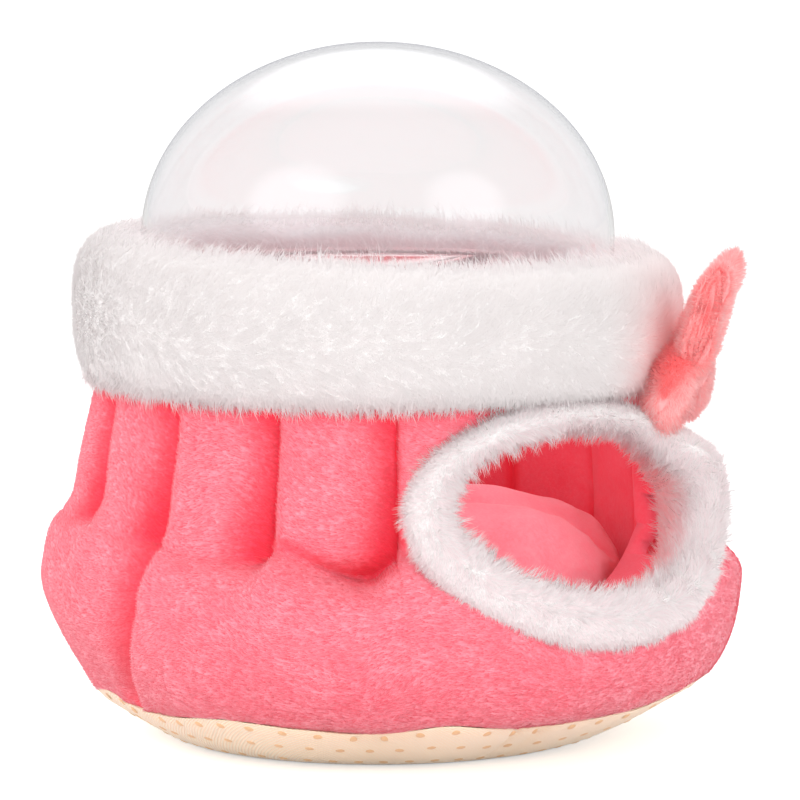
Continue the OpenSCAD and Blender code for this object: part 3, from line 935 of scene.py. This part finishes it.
trim_low_z = TRIM_MID_Z - TRIM_MID_H
TRIM_LOW_R = float(bolster_r(np.array(FRONT), np.array(trim_low_z))) - TRIM_SINK
TRIM_TOP_R = float(crest_r(np.array(TRIM_MID_Z + TRIM_MID_H))) - TRIM_SINK


def trim_point(t):
    x = TRIM_MID_W * cosd(t)
    z = TRIM_MID_Z + TRIM_MID_H * sind(t)
    r = mix(TRIM_LOW_R, TRIM_TOP_R, (1 + sind(t)) / 2)
    return np.stack([x, -np.sqrt(r * r - x * x), z], -1)


def trim_grid():
    """Points of the trim, its centre line, and its directions along and across at each column."""
    t = circle(TRIM_COLS)
    p = trim_point(t)
    along = unit(trim_point(t + 1) - trim_point(t - 1))
    away = unit(p * FROM_AXIS)
    out = unit(without(away, along))
    across = np.cross(along, out)
    up = smooth((sind(t) + 0.4) / 1.4)
    # It swells on the bow's side
    bulge = np.exp(-(((t - 12) / 26) ** 2)) + np.exp(-(((t - 372) / 26) ** 2))
    half_deep = mix(TRIM_DEPTH, TRIM_TOP_DEPTH, up) / 2 + 2.4 * bulge
    half_w = mix(TRIM_W, TRIM_TOP_W, up) / 2 + 1.2 * bulge
    p = p + out * (3.4 * bulge)[:, None]
    s = circle(TRIM_SIDES)
    section_w = (sind(s) * (1.04 + 0.26 * cosd(s)))[:, None]
    ring = p + out * (half_deep * cosd(s)[:, None])[..., None] + across * (half_w * section_w)[..., None]
    return ring, p, along, across


trim_points, trim_centre, trim_along, trim_across = trim_grid()
trim_normals = turned_out(grid_normals(trim_points, close_rows=True), trim_points - trim_centre)
trim_points = trim_points + 0.35 * noise(trim_points, 12, 61)[..., None] * trim_normals
trim_faces = grid_faces(TRIM_SIDES, TRIM_COLS, close_rows=True)
trim_body = add_mesh("trim_body", trim_points, trim_faces, fur_base_mat)
# Its fur lets light through to the wall beside it
trim_body.visible_shadow = False
# Painted pink shade on the trim's side towards the wall
trim_painted_shade = 0.75 * smooth((0.35 - cosd(np.arange(TRIM_SIDES + 1) * 10)) / 0.9)
put_attribute(trim_body, "crease", np.repeat(trim_painted_shade[:TRIM_SIDES], TRIM_COLS))
dress(trim_body, "entrance_trim")


def trim_fur(name, count, seed, wisps=False):
    g = np.random.default_rng(seed)
    pts, nrm = (np.concatenate([grid, grid[:1]]) for grid in (trim_points, trim_normals))
    places = sample_grid(pts, count, np.random.default_rng(seed))
    root, normal = at_places(pts, places), unit(at_places(nrm, places))
    col, row = places[1], places[0] + places[3]
    along, across = trim_along[col], trim_across[col]
    u, v = (col + places[2]) * 0.7, row / TRIM_SIDES * 42
    # Painted pink shade towards the wall, as on the trim's backing
    depth = np.interp(row, np.arange(TRIM_SIDES + 1), trim_painted_shade)
    bu, bv, cell = worley(u, v, 2.6)
    pull = along * (bu - u)[:, None] + unit(np.cross(normal, along)) * (v - bv)[:, None]
    swirl = noise(root, 12, 64)[:, None]
    outer = np.clip(((root - trim_centre[col]) * across).sum(-1) / 4.5, -1, 1)[:, None]
    outer = outer + 0.8 * noise(root, 7, 65)[:, None] + 0.15
    way = unit(across * outer * 0.8 + along * (0.9 * swirl + 0.35) - 0.15 * UP)
    if wisps:
        way = way * 0.9 + pull * 0.3
        length = 5.2 * (0.5 + 0.6 * cell) * (0.5 + 0.7 * g.random(count))
        look, lift, width, depth = wisp_mat, 0.3, 0.17, 0.6 * depth
        habit = dict(bend=0.5, lay=0.9, spread=0.2, keep=0.88)
    else:
        way = way + pull * 0.12
        length = 2.8 * (0.75 + 0.3 * cell) * (0.7 + 0.6 * g.random(count))
        look, lift, width = trim_fur_mat, 0.15, 0.2
        habit = dict(bend=0.7, lay=1.8, spread=0.34, keep=0.97, segments=1)
    fibres(name, "trim_fur", look, depth, root - normal * lift, normal, way, length, width,
           tone=g.random(count), seed=seed + 1, **habit)


trim_fur("trim_fur", 56000, 66)
trim_fur("trim_wisps", 18000, 68, wisps=True)


# The dome

def dome_mesh():
    """One closed shell of clear plastic, with its flange in the pale finish."""
    r = DOME_D / 2
    ri = r - DOME_WALL
    t = np.linspace(0, 90, 64)[:-1]
    outer = np.stack([r * cosd(t), SKIRT_TOP_Z + DOME_H * sind(t)], -1)
    inner = np.stack([ri * cosd(t), SKIRT_TOP_Z + (DOME_H - DOME_WALL) * sind(t)], -1)[::-1]
    edge = 0.25
    foot = [
        [ri, RIM_Z + edge],
        [ri + edge, RIM_Z],
        [r + FLANGE_W - edge, RIM_Z],
        [r + FLANGE_W, RIM_Z + edge],
        [r + FLANGE_W, RIM_Z + FLANGE_T - edge],
        [r + FLANGE_W - edge, RIM_Z + FLANGE_T],
        [r + 0.6, RIM_Z + FLANGE_T],
        [r + 0.1, RIM_Z + FLANGE_T + 0.3],
        [r, RIM_Z + FLANGE_T + 0.8],
    ]
    profile = np.concatenate([inner, foot, outer])
    rings = on_ring(profile[:, :1], circle(DOME_COLS)[None, :], profile[:, 1:])
    poles = [[0, 0, SKIRT_TOP_Z + DOME_H - DOME_WALL], [0, 0, SKIRT_TOP_Z + DOME_H]]
    k = np.arange(DOME_COLS)
    k2 = (k + 1) % DOME_COLS
    low = rings.shape[0] * DOME_COLS
    last = low - DOME_COLS
    faces = list(grid_faces(len(profile), DOME_COLS))
    faces += list(np.stack([low + 0 * k, k2, k], -1))
    faces += list(np.stack([low + 1 + 0 * k, last + k, last + k2], -1))
    ob = add_mesh("clear_dome", np.concatenate([rings.reshape(-1, 3), poles]), faces, dome_mat)
    ob.data.materials.append(foot_mat)
    for face in ob.data.polygons:
        if len(inner) <= face.index // DOME_COLS < len(inner) + len(foot) - 1:
            face.material_index = 1
    return ob


def pale_foot():
    """For the flange, which the fur hides, so that no dark line shows at the foot of the dome."""
    mat, nt = new_material("pale_foot_look")
    show(nt, lit(nt, (0.99, 0.90, 0.91), Roughness=0.8))
    return mat


def clear_plastic():
    """Clear and glossy, and plain see-through to the light that falls on what is behind it."""
    mat, nt = new_material("clear_plastic_look")
    clear = lit(nt, (0.975, 0.968, 0.97), Roughness=0.02, Transmission_Weight=1.0, IOR=1.45)
    plain = node(nt, "BsdfTransparent", Color=(0.97, 0.975, 0.985)).outputs[0]
    path = node(nt, "LightPath").outputs
    either = maths(nt, "MAXIMUM", path["Is Shadow Ray"], path["Is Diffuse Ray"])
    show(nt, mix_shader(nt, either, clear, plain))
    return mat


dome_mat = clear_plastic()
foot_mat = pale_foot()
dress(dome_mesh(), "dome")


# The loose cushion

CUSHION_R = float(inner_r(np.array(FRONT), np.array(FLOOR_Z + 0.14 * WALL_H))) - 0.6


def cushion_folds(x, y):
    roll = (y + 0.3 * x + 59 + 3 * sind(3 * x)) / 34
    return 2 * (sind(180 * roll) ** 2 + 0.01) ** 0.35 - 1.2 + 0.4 * sind(5 * x + 60)


# Rings from the foot to the middle: share of the radius, of the height, and of the folds
cushion_rows = np.array(
    [
        [0.84, 0, 0], [0.95, 0.1, 0], [1, 0.3, 0], [0.99, 0.52, 0.1], [0.95, 0.7, 0.4], [0.88, 0.82, 0.8],
        [0.79, 0.89, 1], [0.69, 0.93, 1], [0.58, 0.96, 1], [0.47, 0.98, 1], [0.36, 0.99, 1], [0.25, 1, 1],
        [0.14, 1, 1], [0.05, 1, 1],
    ]
)


def cushion_mesh():
    run, rise = np.diff(cushion_rows[:, 0]) * CUSHION_R, np.diff(cushion_rows[:, 1]) * CUSHION_H
    d = np.concatenate([[0], np.cumsum(np.hypot(run, rise))])
    s = np.linspace(0, d[-1], 90)
    radius, height, fold = (np.interp(s, d, cushion_rows[:, k])[:, None] for k in range(3))
    t = circle(CUSHION_COLS)[None, :]
    r = CUSHION_R * radius * (1 - 0.012 * (1 + sind(5 * t + 40)))
    x, y = r * cosd(t), r * sind(t)
    z = FLOOR_Z + CUSHION_H * height + CUSHION_FOLD * fold * cushion_folds(x, y)
    p = np.stack([x, y, z], -1)
    n = turned_out(grid_normals(p), np.broadcast_to(UP, p.shape), -5)
    p = p + n * ((1.1 * noise(p, 15, 71) + 0.45 * noise(p, 6.5, 72)) * smooth((z - FLOOR_Z) / 8))[..., None]
    ob = add_mesh("cushion", p, capped_faces(len(s), CUSHION_COLS), cushion_mat)
    # Painted shade in the valleys of the folds
    put_attribute(ob, "crease", (clamp01(0.55 - (cushion_folds(x, y) + 1.2) * 0.7) * fold).reshape(-1))
    return ob


dress(cushion_mesh(), "cushion")


# The sole

def twill():
    mat, nt = new_material("beige_twill_look")
    cloth = attribute(nt, "cloth", "Vector")
    turn = node(nt, "Mapping", Vector=cloth, Rotation=(0, 0, math.radians(52))).outputs["Vector"]
    ribs = node(nt, "TexWave", Vector=turn, Scale=0.45, Distortion=0.0, Detail=2.0, Detail_Scale=2.0)
    fine = node(nt, "TexNoise", Vector=cloth, Scale=2.2, Detail=3.0).outputs["Fac"]
    share = weighted(nt, ribs.outputs["Fac"], 0.55, fine, 0.45)
    colour = mix_rgb(nt, share, (1.0, 0.69, 0.44), (1.0, 0.90, 0.71))
    show(nt, lit(nt, colour, share, 0.7, Roughness=0.7, Specular_IOR_Level=0.3, Sheen_Weight=0.6))
    return mat


def rubber():
    mat, nt = new_material("grip_dot_look")
    colour = mix_rgb(nt, noise_node(nt, object_place(nt), 0.7, 2.0), (0.80, 0.50, 0.26), (0.88, 0.60, 0.36))
    show(nt, lit(nt, colour, Roughness=0.5))
    return mat


twill_mat, dot_mat = twill(), rubber()
SOLE_LIFT = 0.25


def sole_point(theta, u):
    """A point on the sole's side: u is 0 at the flat underside's edge and 1 at the seam."""
    r = BASE_FLAT_R + (outer_r(theta, hem_z(theta)) + 0.9 - BASE_FLAT_R) * u**0.75
    z = SOLE_LIFT + (hem_z(theta) - 0.2 - SOLE_LIFT) * u
    pucker = smooth((u - 0.35) / 0.65)
    r = r + pucker * (0.7 * ring_noise(theta, 3.0, 81) + 0.5 * ring_noise(theta, 8, 82))
    r = r - 0.8 * smooth((u - 0.8) / 0.2)
    r = r + 0.5 * ring_noise(theta, 14, 83) * smooth(u / 0.2)
    return r, z


def sole_mesh():
    a = circle(SOLE_COLS)[None, :]
    u = np.linspace(0, 1, 26)[:, None]
    r, z = sole_point(a, u)
    under = on_ring(np.linspace(0.02, 1, 20)[:-1, None] * BASE_FLAT_R, a, SOLE_LIFT)
    # The top is closed just above the seam, inside the wall
    top = on_ring(HEM_R - 8.0, a, FLOOR_Z - 0.3)
    p = np.concatenate([under, on_ring(r, a, z), top])
    ob = add_mesh("sole", p, capped_faces(len(p), SOLE_COLS), twill_mat)
    # The cloth's chart: flat below, and by angle and height on the side
    on_side = np.arange(len(p))[:, None] >= len(under)
    height = np.concatenate([np.zeros(len(under)), u[:, 0] * 19 + 58, [20 + 58]])[:, None]
    chart_x, chart_y = np.where(on_side, a * 1.13, p[..., 0]), np.where(on_side, height, p[..., 1])
    put_attribute(ob, "cloth", np.stack([chart_x, chart_y, 0 * chart_x], -1).reshape(-1, 3))
    return ob


dress(sole_mesh(), "sole")

DOT_R = 1.25
DOT_PITCH, DOT_ROW = 7.0, 6.06
DOTS_ROUND = 56


def dot_places():
    """Centre, outward direction and one direction across, for the dots below and up the side."""
    places = []
    rows = int(2 * BASE_FLAT_R / DOT_ROW) + 2
    for j in range(-rows, rows + 1):
        for i in range(-12, 13):
            x, y = (i + 0.5 * (j % 2)) * DOT_PITCH, j * DOT_ROW
            if math.hypot(x, y) < BASE_FLAT_R - 2.0:
                places.append((np.array([x, y, SOLE_LIFT]), -UP, np.array([1.0, 0, 0])))
    for row, s in enumerate((0.14, 0.50, 0.86)):
        for i in range(DOTS_ROUND):
            th = np.array((i + 0.5 * (row % 2)) * 360 / DOTS_ROUND)
            (r0, z0), (r1, z1) = sole_point(th, np.array(s)), sole_point(th, np.array(s + 0.02))
            pos = on_ring(r0, th, z0)
            round_way = np.array([-sind(th), cosd(th), 0])
            places.append((pos, np.cross(round_way, unit(on_ring(r1, th, z1) - pos)), round_way))
    return places


def grip_dots():
    """Low round dots: rings of 12 points, each with its share of the radius and its height."""
    verts, faces = [], []
    for pos, nrm, xa in dot_places():
        ya = np.cross(nrm, xa)
        start = len(verts)
        for share, high in ((1.0, 0.0), (0.8, 0.14), (0.45, 0.22)):
            for k in range(12):
                c, s = math.cos(k * math.pi / 6), math.sin(k * math.pi / 6)
                verts.append(pos + (xa * c + ya * s) * DOT_R * share + nrm * (high - 0.05))
        verts.append(pos + nrm * 0.2)
        faces += list(grid_faces(3, 12) + start)
        for k in range(12):
            faces.append([start + 24 + k, start + 24 + (k + 1) % 12, start + 36])
    dress(add_mesh("grip_dots", np.array(verts), faces, dot_mat))


grip_dots()


# The bow

def bow_frame(p):
    """From the bow's own frame to the object's."""
    a = math.radians(FRONT + BOW_ANGLE - 90)
    x, y, z = p[..., 0], p[..., 1], p[..., 2] + KNOT_Z
    y = y + float(collar_r(np.array(KNOT_Z))) - BOW_PRESS + KNOT_D / 2
    return np.stack([x * math.cos(a) - y * math.sin(a), x * math.sin(a) + y * math.cos(a), z], -1)


# Rings of a wing: share of its length, of its height and of its thickness, then its painted shade in a fold
wing_rings = np.array(
    [[x, 1, 1, 0] for x in np.linspace(0, 0.955, 26)]
    + [
        [0.985, 0.985, 0.97, 0], [1.0, 0.965, 0.90, 0], [1.005, 0.945, 0.80, 0.0],
        [0.995, 0.93, 0.70, 0.2], [0.965, 0.915, 0.62, 0.75], [0.955, 0.90, 0.56, 0.95],
        [0.975, 0.87, 0.50, 0.5], [0.99, 0.84, 0.43, 0.1], [0.985, 0.80, 0.35, 0.15],
        [0.955, 0.76, 0.28, 0.7], [0.945, 0.71, 0.22, 0.9], [0.965, 0.64, 0.17, 0.4],
        [0.975, 0.56, 0.12, 0.15], [0.965, 0.46, 0.08, 0.3], [0.94, 0.34, 0.05, 0.8],
        [0.93, 0.20, 0.03, 1.0], [0.93, 0.05, 0.01, 1.0],
    ]
)


tail_share = np.concatenate([np.linspace(0, 0.9, 28), [0.93, 0.955, 0.975, 0.988, 0.996, 0.999]])
tail_rings = np.stack(
    [
        tail_share,
        (1 - clamp01((tail_share - 0.74) / 0.26) ** 2.4) ** 0.5,
        (1 - clamp01((tail_share - 0.60) / 0.40) ** 2.4) ** 0.5,
        0 * tail_share,
    ],
    -1,
)


def wing(rings, side, l, h, t, lift, out, lean, core):
    """A loop or a tail in the bow's own frame, from rings along its length."""
    s = circle(LOBE_COLS)[None, :]
    sh, tall, thick = (rings[:, k : k + 1] for k in range(3))
    half_h = mix(core, h, sh**0.7) / 2 * tall
    half_t = mix(core, t, sh) / 2 * thick
    if lift < 0:
        # A tail narrows towards its lower corner
        half_t = half_t * (1 - 0.5 * sh * clamp01(-sind(s)) ** 1.5)
    x = KNOT_W / 2 + sh * l
    pleat = 1 - 0.35 * sh * np.abs(cosd(s)) ** 8 * clamp01((thick - 0.5) / 0.5)
    z = lift * sh + half_h * sind(s)
    # The folds of the mouth wander along its height
    ripple = 0.5 * sind(z * 24 + 200 * thick) * clamp01((0.9 - thick) / 0.2) * tall
    wander = 0.9 * sind(s * 2 + 40) * (1 - thick) * tall + ripple
    y = out * sh + lean * sh * half_h * sind(s) + half_t * cosd(s) * pleat * (1 - 0.3 * sh * sind(s) ** 8)
    y = y + wander * 0.6
    x = x - 0.12 * l * sh * sind(s) ** 2 * tall**2
    # Gathers that run out from the knot
    gather = 0.55 * sind(s * 7 + 70 * sh) * smooth(sh / 0.15) * (1 - smooth((sh - 0.45) / 0.5))
    return np.stack([side * x, y + gather * cosd(s), z + gather * sind(s)], -1)


def lobe(name, node_name, rings, side, seed, *sizes):
    p = bow_frame(wing(rings, side, *sizes))
    is_tail = rings is tail_rings
    rows = len(p)
    nrm = turned_out(grid_normals(p), p - p.mean(1, keepdims=True), slice(5, 20))
    rough = 0.6 * noise(p + 40 * seed, 7, 91) + 0.3 * noise(p, 2.6, 92)
    p = p + nrm * rough[..., None] * smooth(np.arange(rows) / 5)[:, None, None]
    ob = add_mesh(name, p, capped_faces(rows, LOBE_COLS, flip=side < 0), bow_mat)
    # Painted shade near the knot, in the gathers and in the folds of the mouth
    near_knot = clamp01(1 - np.arange(rows) / 9.0) * 0.6
    gathers = clamp01(-sind(circle(LOBE_COLS)[None, :] * 7 + 70 * rings[:, :1])) * 0.5
    gathers = gathers * (smooth(rings[:, :1] / 0.1) * (1 - smooth((rings[:, :1] - 0.4) / 0.5)))
    crease = clamp01(rings[:, 3:4] * 0.7 + near_knot[:, None] + gathers)
    if is_tail:
        # Painted shade where a tail lies under its loop
        crease = clamp01(crease + 0.9 * smooth((sind(circle(LOBE_COLS)) - 0.45) / 0.5)[None, :])
    put_attribute(ob, "crease", crease.reshape(-1))
    # The plush glows through rather than darken the fur behind it
    ob.visible_shadow = False
    dress(ob, node_name)
    last = rows - 1 if is_tail else rows - 6
    places = sample_grid(p[2:last], 16000, np.random.default_rng(93))
    root, normal = at_places(p[2:last], places), unit(at_places(nrm[2:last], places))
    along = unit(bow_frame(np.array([side * 1.0, 0, 0])) - bow_frame(np.zeros(3)))
    way = 0.15 * along - UP if is_tail else 0.5 * UP + along * 0.8
    way = way + 0.8 * noise(root, 5, 94)[:, None] * np.array([0.3, 0.2, -1.0])
    length = 2.3 * (0.6 + 0.7 * np.random.default_rng(seed).random(len(root)))
    shade = crease[places[0] + 2, places[1]] * 0.8
    fibres(name + "_pile", "bow_plush", bow_pile_mat, shade, root, normal, way, length, 0.2, bend=0.6, lay=0.9,
           spread=0.4, seed=95, keep=0.85, segments=1)


TAIL_CORE_D = KNOT_CORE_D - 1
lobe("bow_loop_near", "bow_loops", wing_rings, 1, 1, LOOP_L, LOOP_H, LOOP_T, 14, 8, 0.3, KNOT_CORE_D)
lobe("bow_loop_far", "bow_loops", wing_rings, -1, 2, LOOP_L, LOOP_H * 0.8, LOOP_T, 16, 5.2, 0.35, KNOT_CORE_D)
lobe("bow_tail_near", "bow_tails", tail_rings, 1, 3,
     TAIL_L * 1.2, TAIL_H * 1.04, TAIL_T * 1.5, -6.8, -2.0, 0.30, TAIL_CORE_D)
lobe("bow_tail_far", "bow_tails", tail_rings, -1, 4,
     TAIL_L * 0.9, TAIL_H * 0.85, TAIL_T * 0.85, -8.5, -0.5, 0.2, TAIL_CORE_D)


def knot_mesh():
    t, a = circle(40)[:, None], circle(72)[None, :]
    tube_r = (KNOT_D - KNOT_CORE_D) / 2
    r = KNOT_CORE_D / 2 + tube_r * cosd(t) * (cosd(t) > 0) - 0.6 * (cosd(t) <= 0)
    r = r + 0 * a + 0.35 * sind(a * 5 + 30) * smooth((r - 4) / 2)
    p = bow_frame(np.stack([KNOT_W / 2 * sind(t) + 0 * a, r * cosd(a), r * sind(a)], -1))
    p = p + 0.25 * noise(p, 3, 96)[..., None]
    ob = add_mesh("bow_knot_band", p, grid_faces(40, 72, close_rows=True), bow_mat)
    # A little painted shade all over the knot
    put_attribute(ob, "crease", np.full(40 * 72, 0.15))
    dress(ob, "bow_knot")


knot_mesh()


# Floor, light and camera

FLOOR_R = 9000


def direction(angle, elevation):
    a, e = math.radians(angle), math.radians(elevation)
    return Vector((math.cos(a) * math.cos(e), math.sin(a) * math.cos(e), math.sin(e)))


def floor():
    mat, nt = new_material("floor_look")
    path = node(nt, "LightPath").outputs
    matt = node(nt, "BsdfDiffuse", Color=(0.92, 0.92, 0.92)).outputs[0]
    glow = node(nt, "Emission", Strength=maths(nt, "MULTIPLY", path["Is Camera Ray"], 0.50)).outputs[0]
    both = node(nt, "AddShader")
    nt.links.new(matt, both.inputs[0])
    nt.links.new(glow, both.inputs[1])
    # Through the dome the floor is plain white, like the backdrop
    plain = node(nt, "Emission", Strength=1.0).outputs[0]
    show(nt, mix_shader(nt, path["Is Transmission Ray"], both.outputs[0], plain))
    add_mesh("floor", on_ring(FLOOR_R, circle(96), 0), [np.arange(96)], mat)


def studio():
    world = bpy.data.worlds.new("studio")
    bpy.context.scene.world = world
    world.use_nodes = True
    nt = world.node_tree
    nt.nodes.clear()
    path = node(nt, "LightPath").outputs
    light = node(nt, "Background", Color=(1.0, 0.995, 0.99), Strength=0.80).outputs[0]
    white = node(nt, "Background", Color=(1, 1, 1), Strength=1.0).outputs[0]
    # What gloss shows: a pale room with three soft boxes, each with its inner and outer angle and strength
    way = node(nt, "TexCoord").outputs["Generated"]
    glow = None
    for angle, elevation, inner, outer, strength in (
        (-176, 30, 12, 30, 3.2),
        (-81, 30, 8, 24, 3.0),
        (50, 52, 14, 34, 2.6),
    ):
        dot = node(nt, "VectorMath", operation="DOT_PRODUCT")
        nt.links.new(way, dot.inputs[0])
        dot.inputs[1].default_value = direction(angle, elevation)
        part = ramp(nt, dot.outputs["Value"], cosd(outer), cosd(inner), 0.0, strength)
        part.node.interpolation_type = "SMOOTHERSTEP"
        glow = part if glow is None else maths(nt, "ADD", glow, part)
    dim = node(nt, "Background", Color=(0.80, 0.81, 0.86), Strength=maths(nt, "ADD", glow, 0.85)).outputs[0]
    seen = maths(nt, "MAXIMUM", path["Is Camera Ray"], path["Is Transmission Ray"])
    show(nt, mix_shader(nt, seen, mix_shader(nt, path["Is Glossy Ray"], light, dim), white), "OutputWorld")


def place(name, data, where, target):
    """An object there, turned to look at the target."""
    ob = bpy.data.objects.new(name, data)
    bpy.context.scene.collection.objects.link(ob)
    ob.location = where
    ob.rotation_euler = (Vector(target) - ob.location).to_track_quat("-Z", "Y").to_euler()
    return ob


LIGHT_TARGET = Vector((0, 0, 0.09))


def soft_box(name, angle, elevation, distance, size_x, size_y, power):
    data = bpy.data.lights.new(name, "AREA")
    data.shape = "RECTANGLE"
    data.size, data.size_y = size_x, size_y
    data.energy = power
    data.color = (1.0, 0.99, 0.98)
    ob = place(name, data, LIGHT_TARGET + distance * direction(angle, elevation), LIGHT_TARGET)
    ob.visible_glossy = False
    ob.visible_transmission = False


VIEW_ANGLE = -130.0
CAMERA_DISTANCE, CAMERA_Z = 1.7, 0.285
AIM_RIGHT, AIM_Z = 0.0056, 0.0855


def camera():
    data = bpy.data.cameras.new("camera")
    data.sensor_width = 36.0
    data.lens = 303.2
    data.clip_start, data.clip_end = 0.05, 100.0
    where = CAMERA_DISTANCE * direction(VIEW_ANGLE, 0)
    target = AIM_RIGHT * direction(VIEW_ANGLE + 90, 0)
    bpy.context.scene.camera = place("camera", data, (where.x, where.y, CAMERA_Z), (target.x, target.y, AIM_Z))


floor()
studio()
soft_box("box_left", 168, 22, 1.3, 1.8, 1.4, 9.0)
soft_box("box_front", -136, 8, 1.5, 1.3, 0.7, 3.8)
soft_box("box_right", -86, 10, 1.3, 0.8, 0.8, 5.0)
soft_box("box_top", 50, 78, 1.4, 1.2, 0.8, 7.0)
camera()
bpy.context.scene.view_settings.view_transform = "Standard"
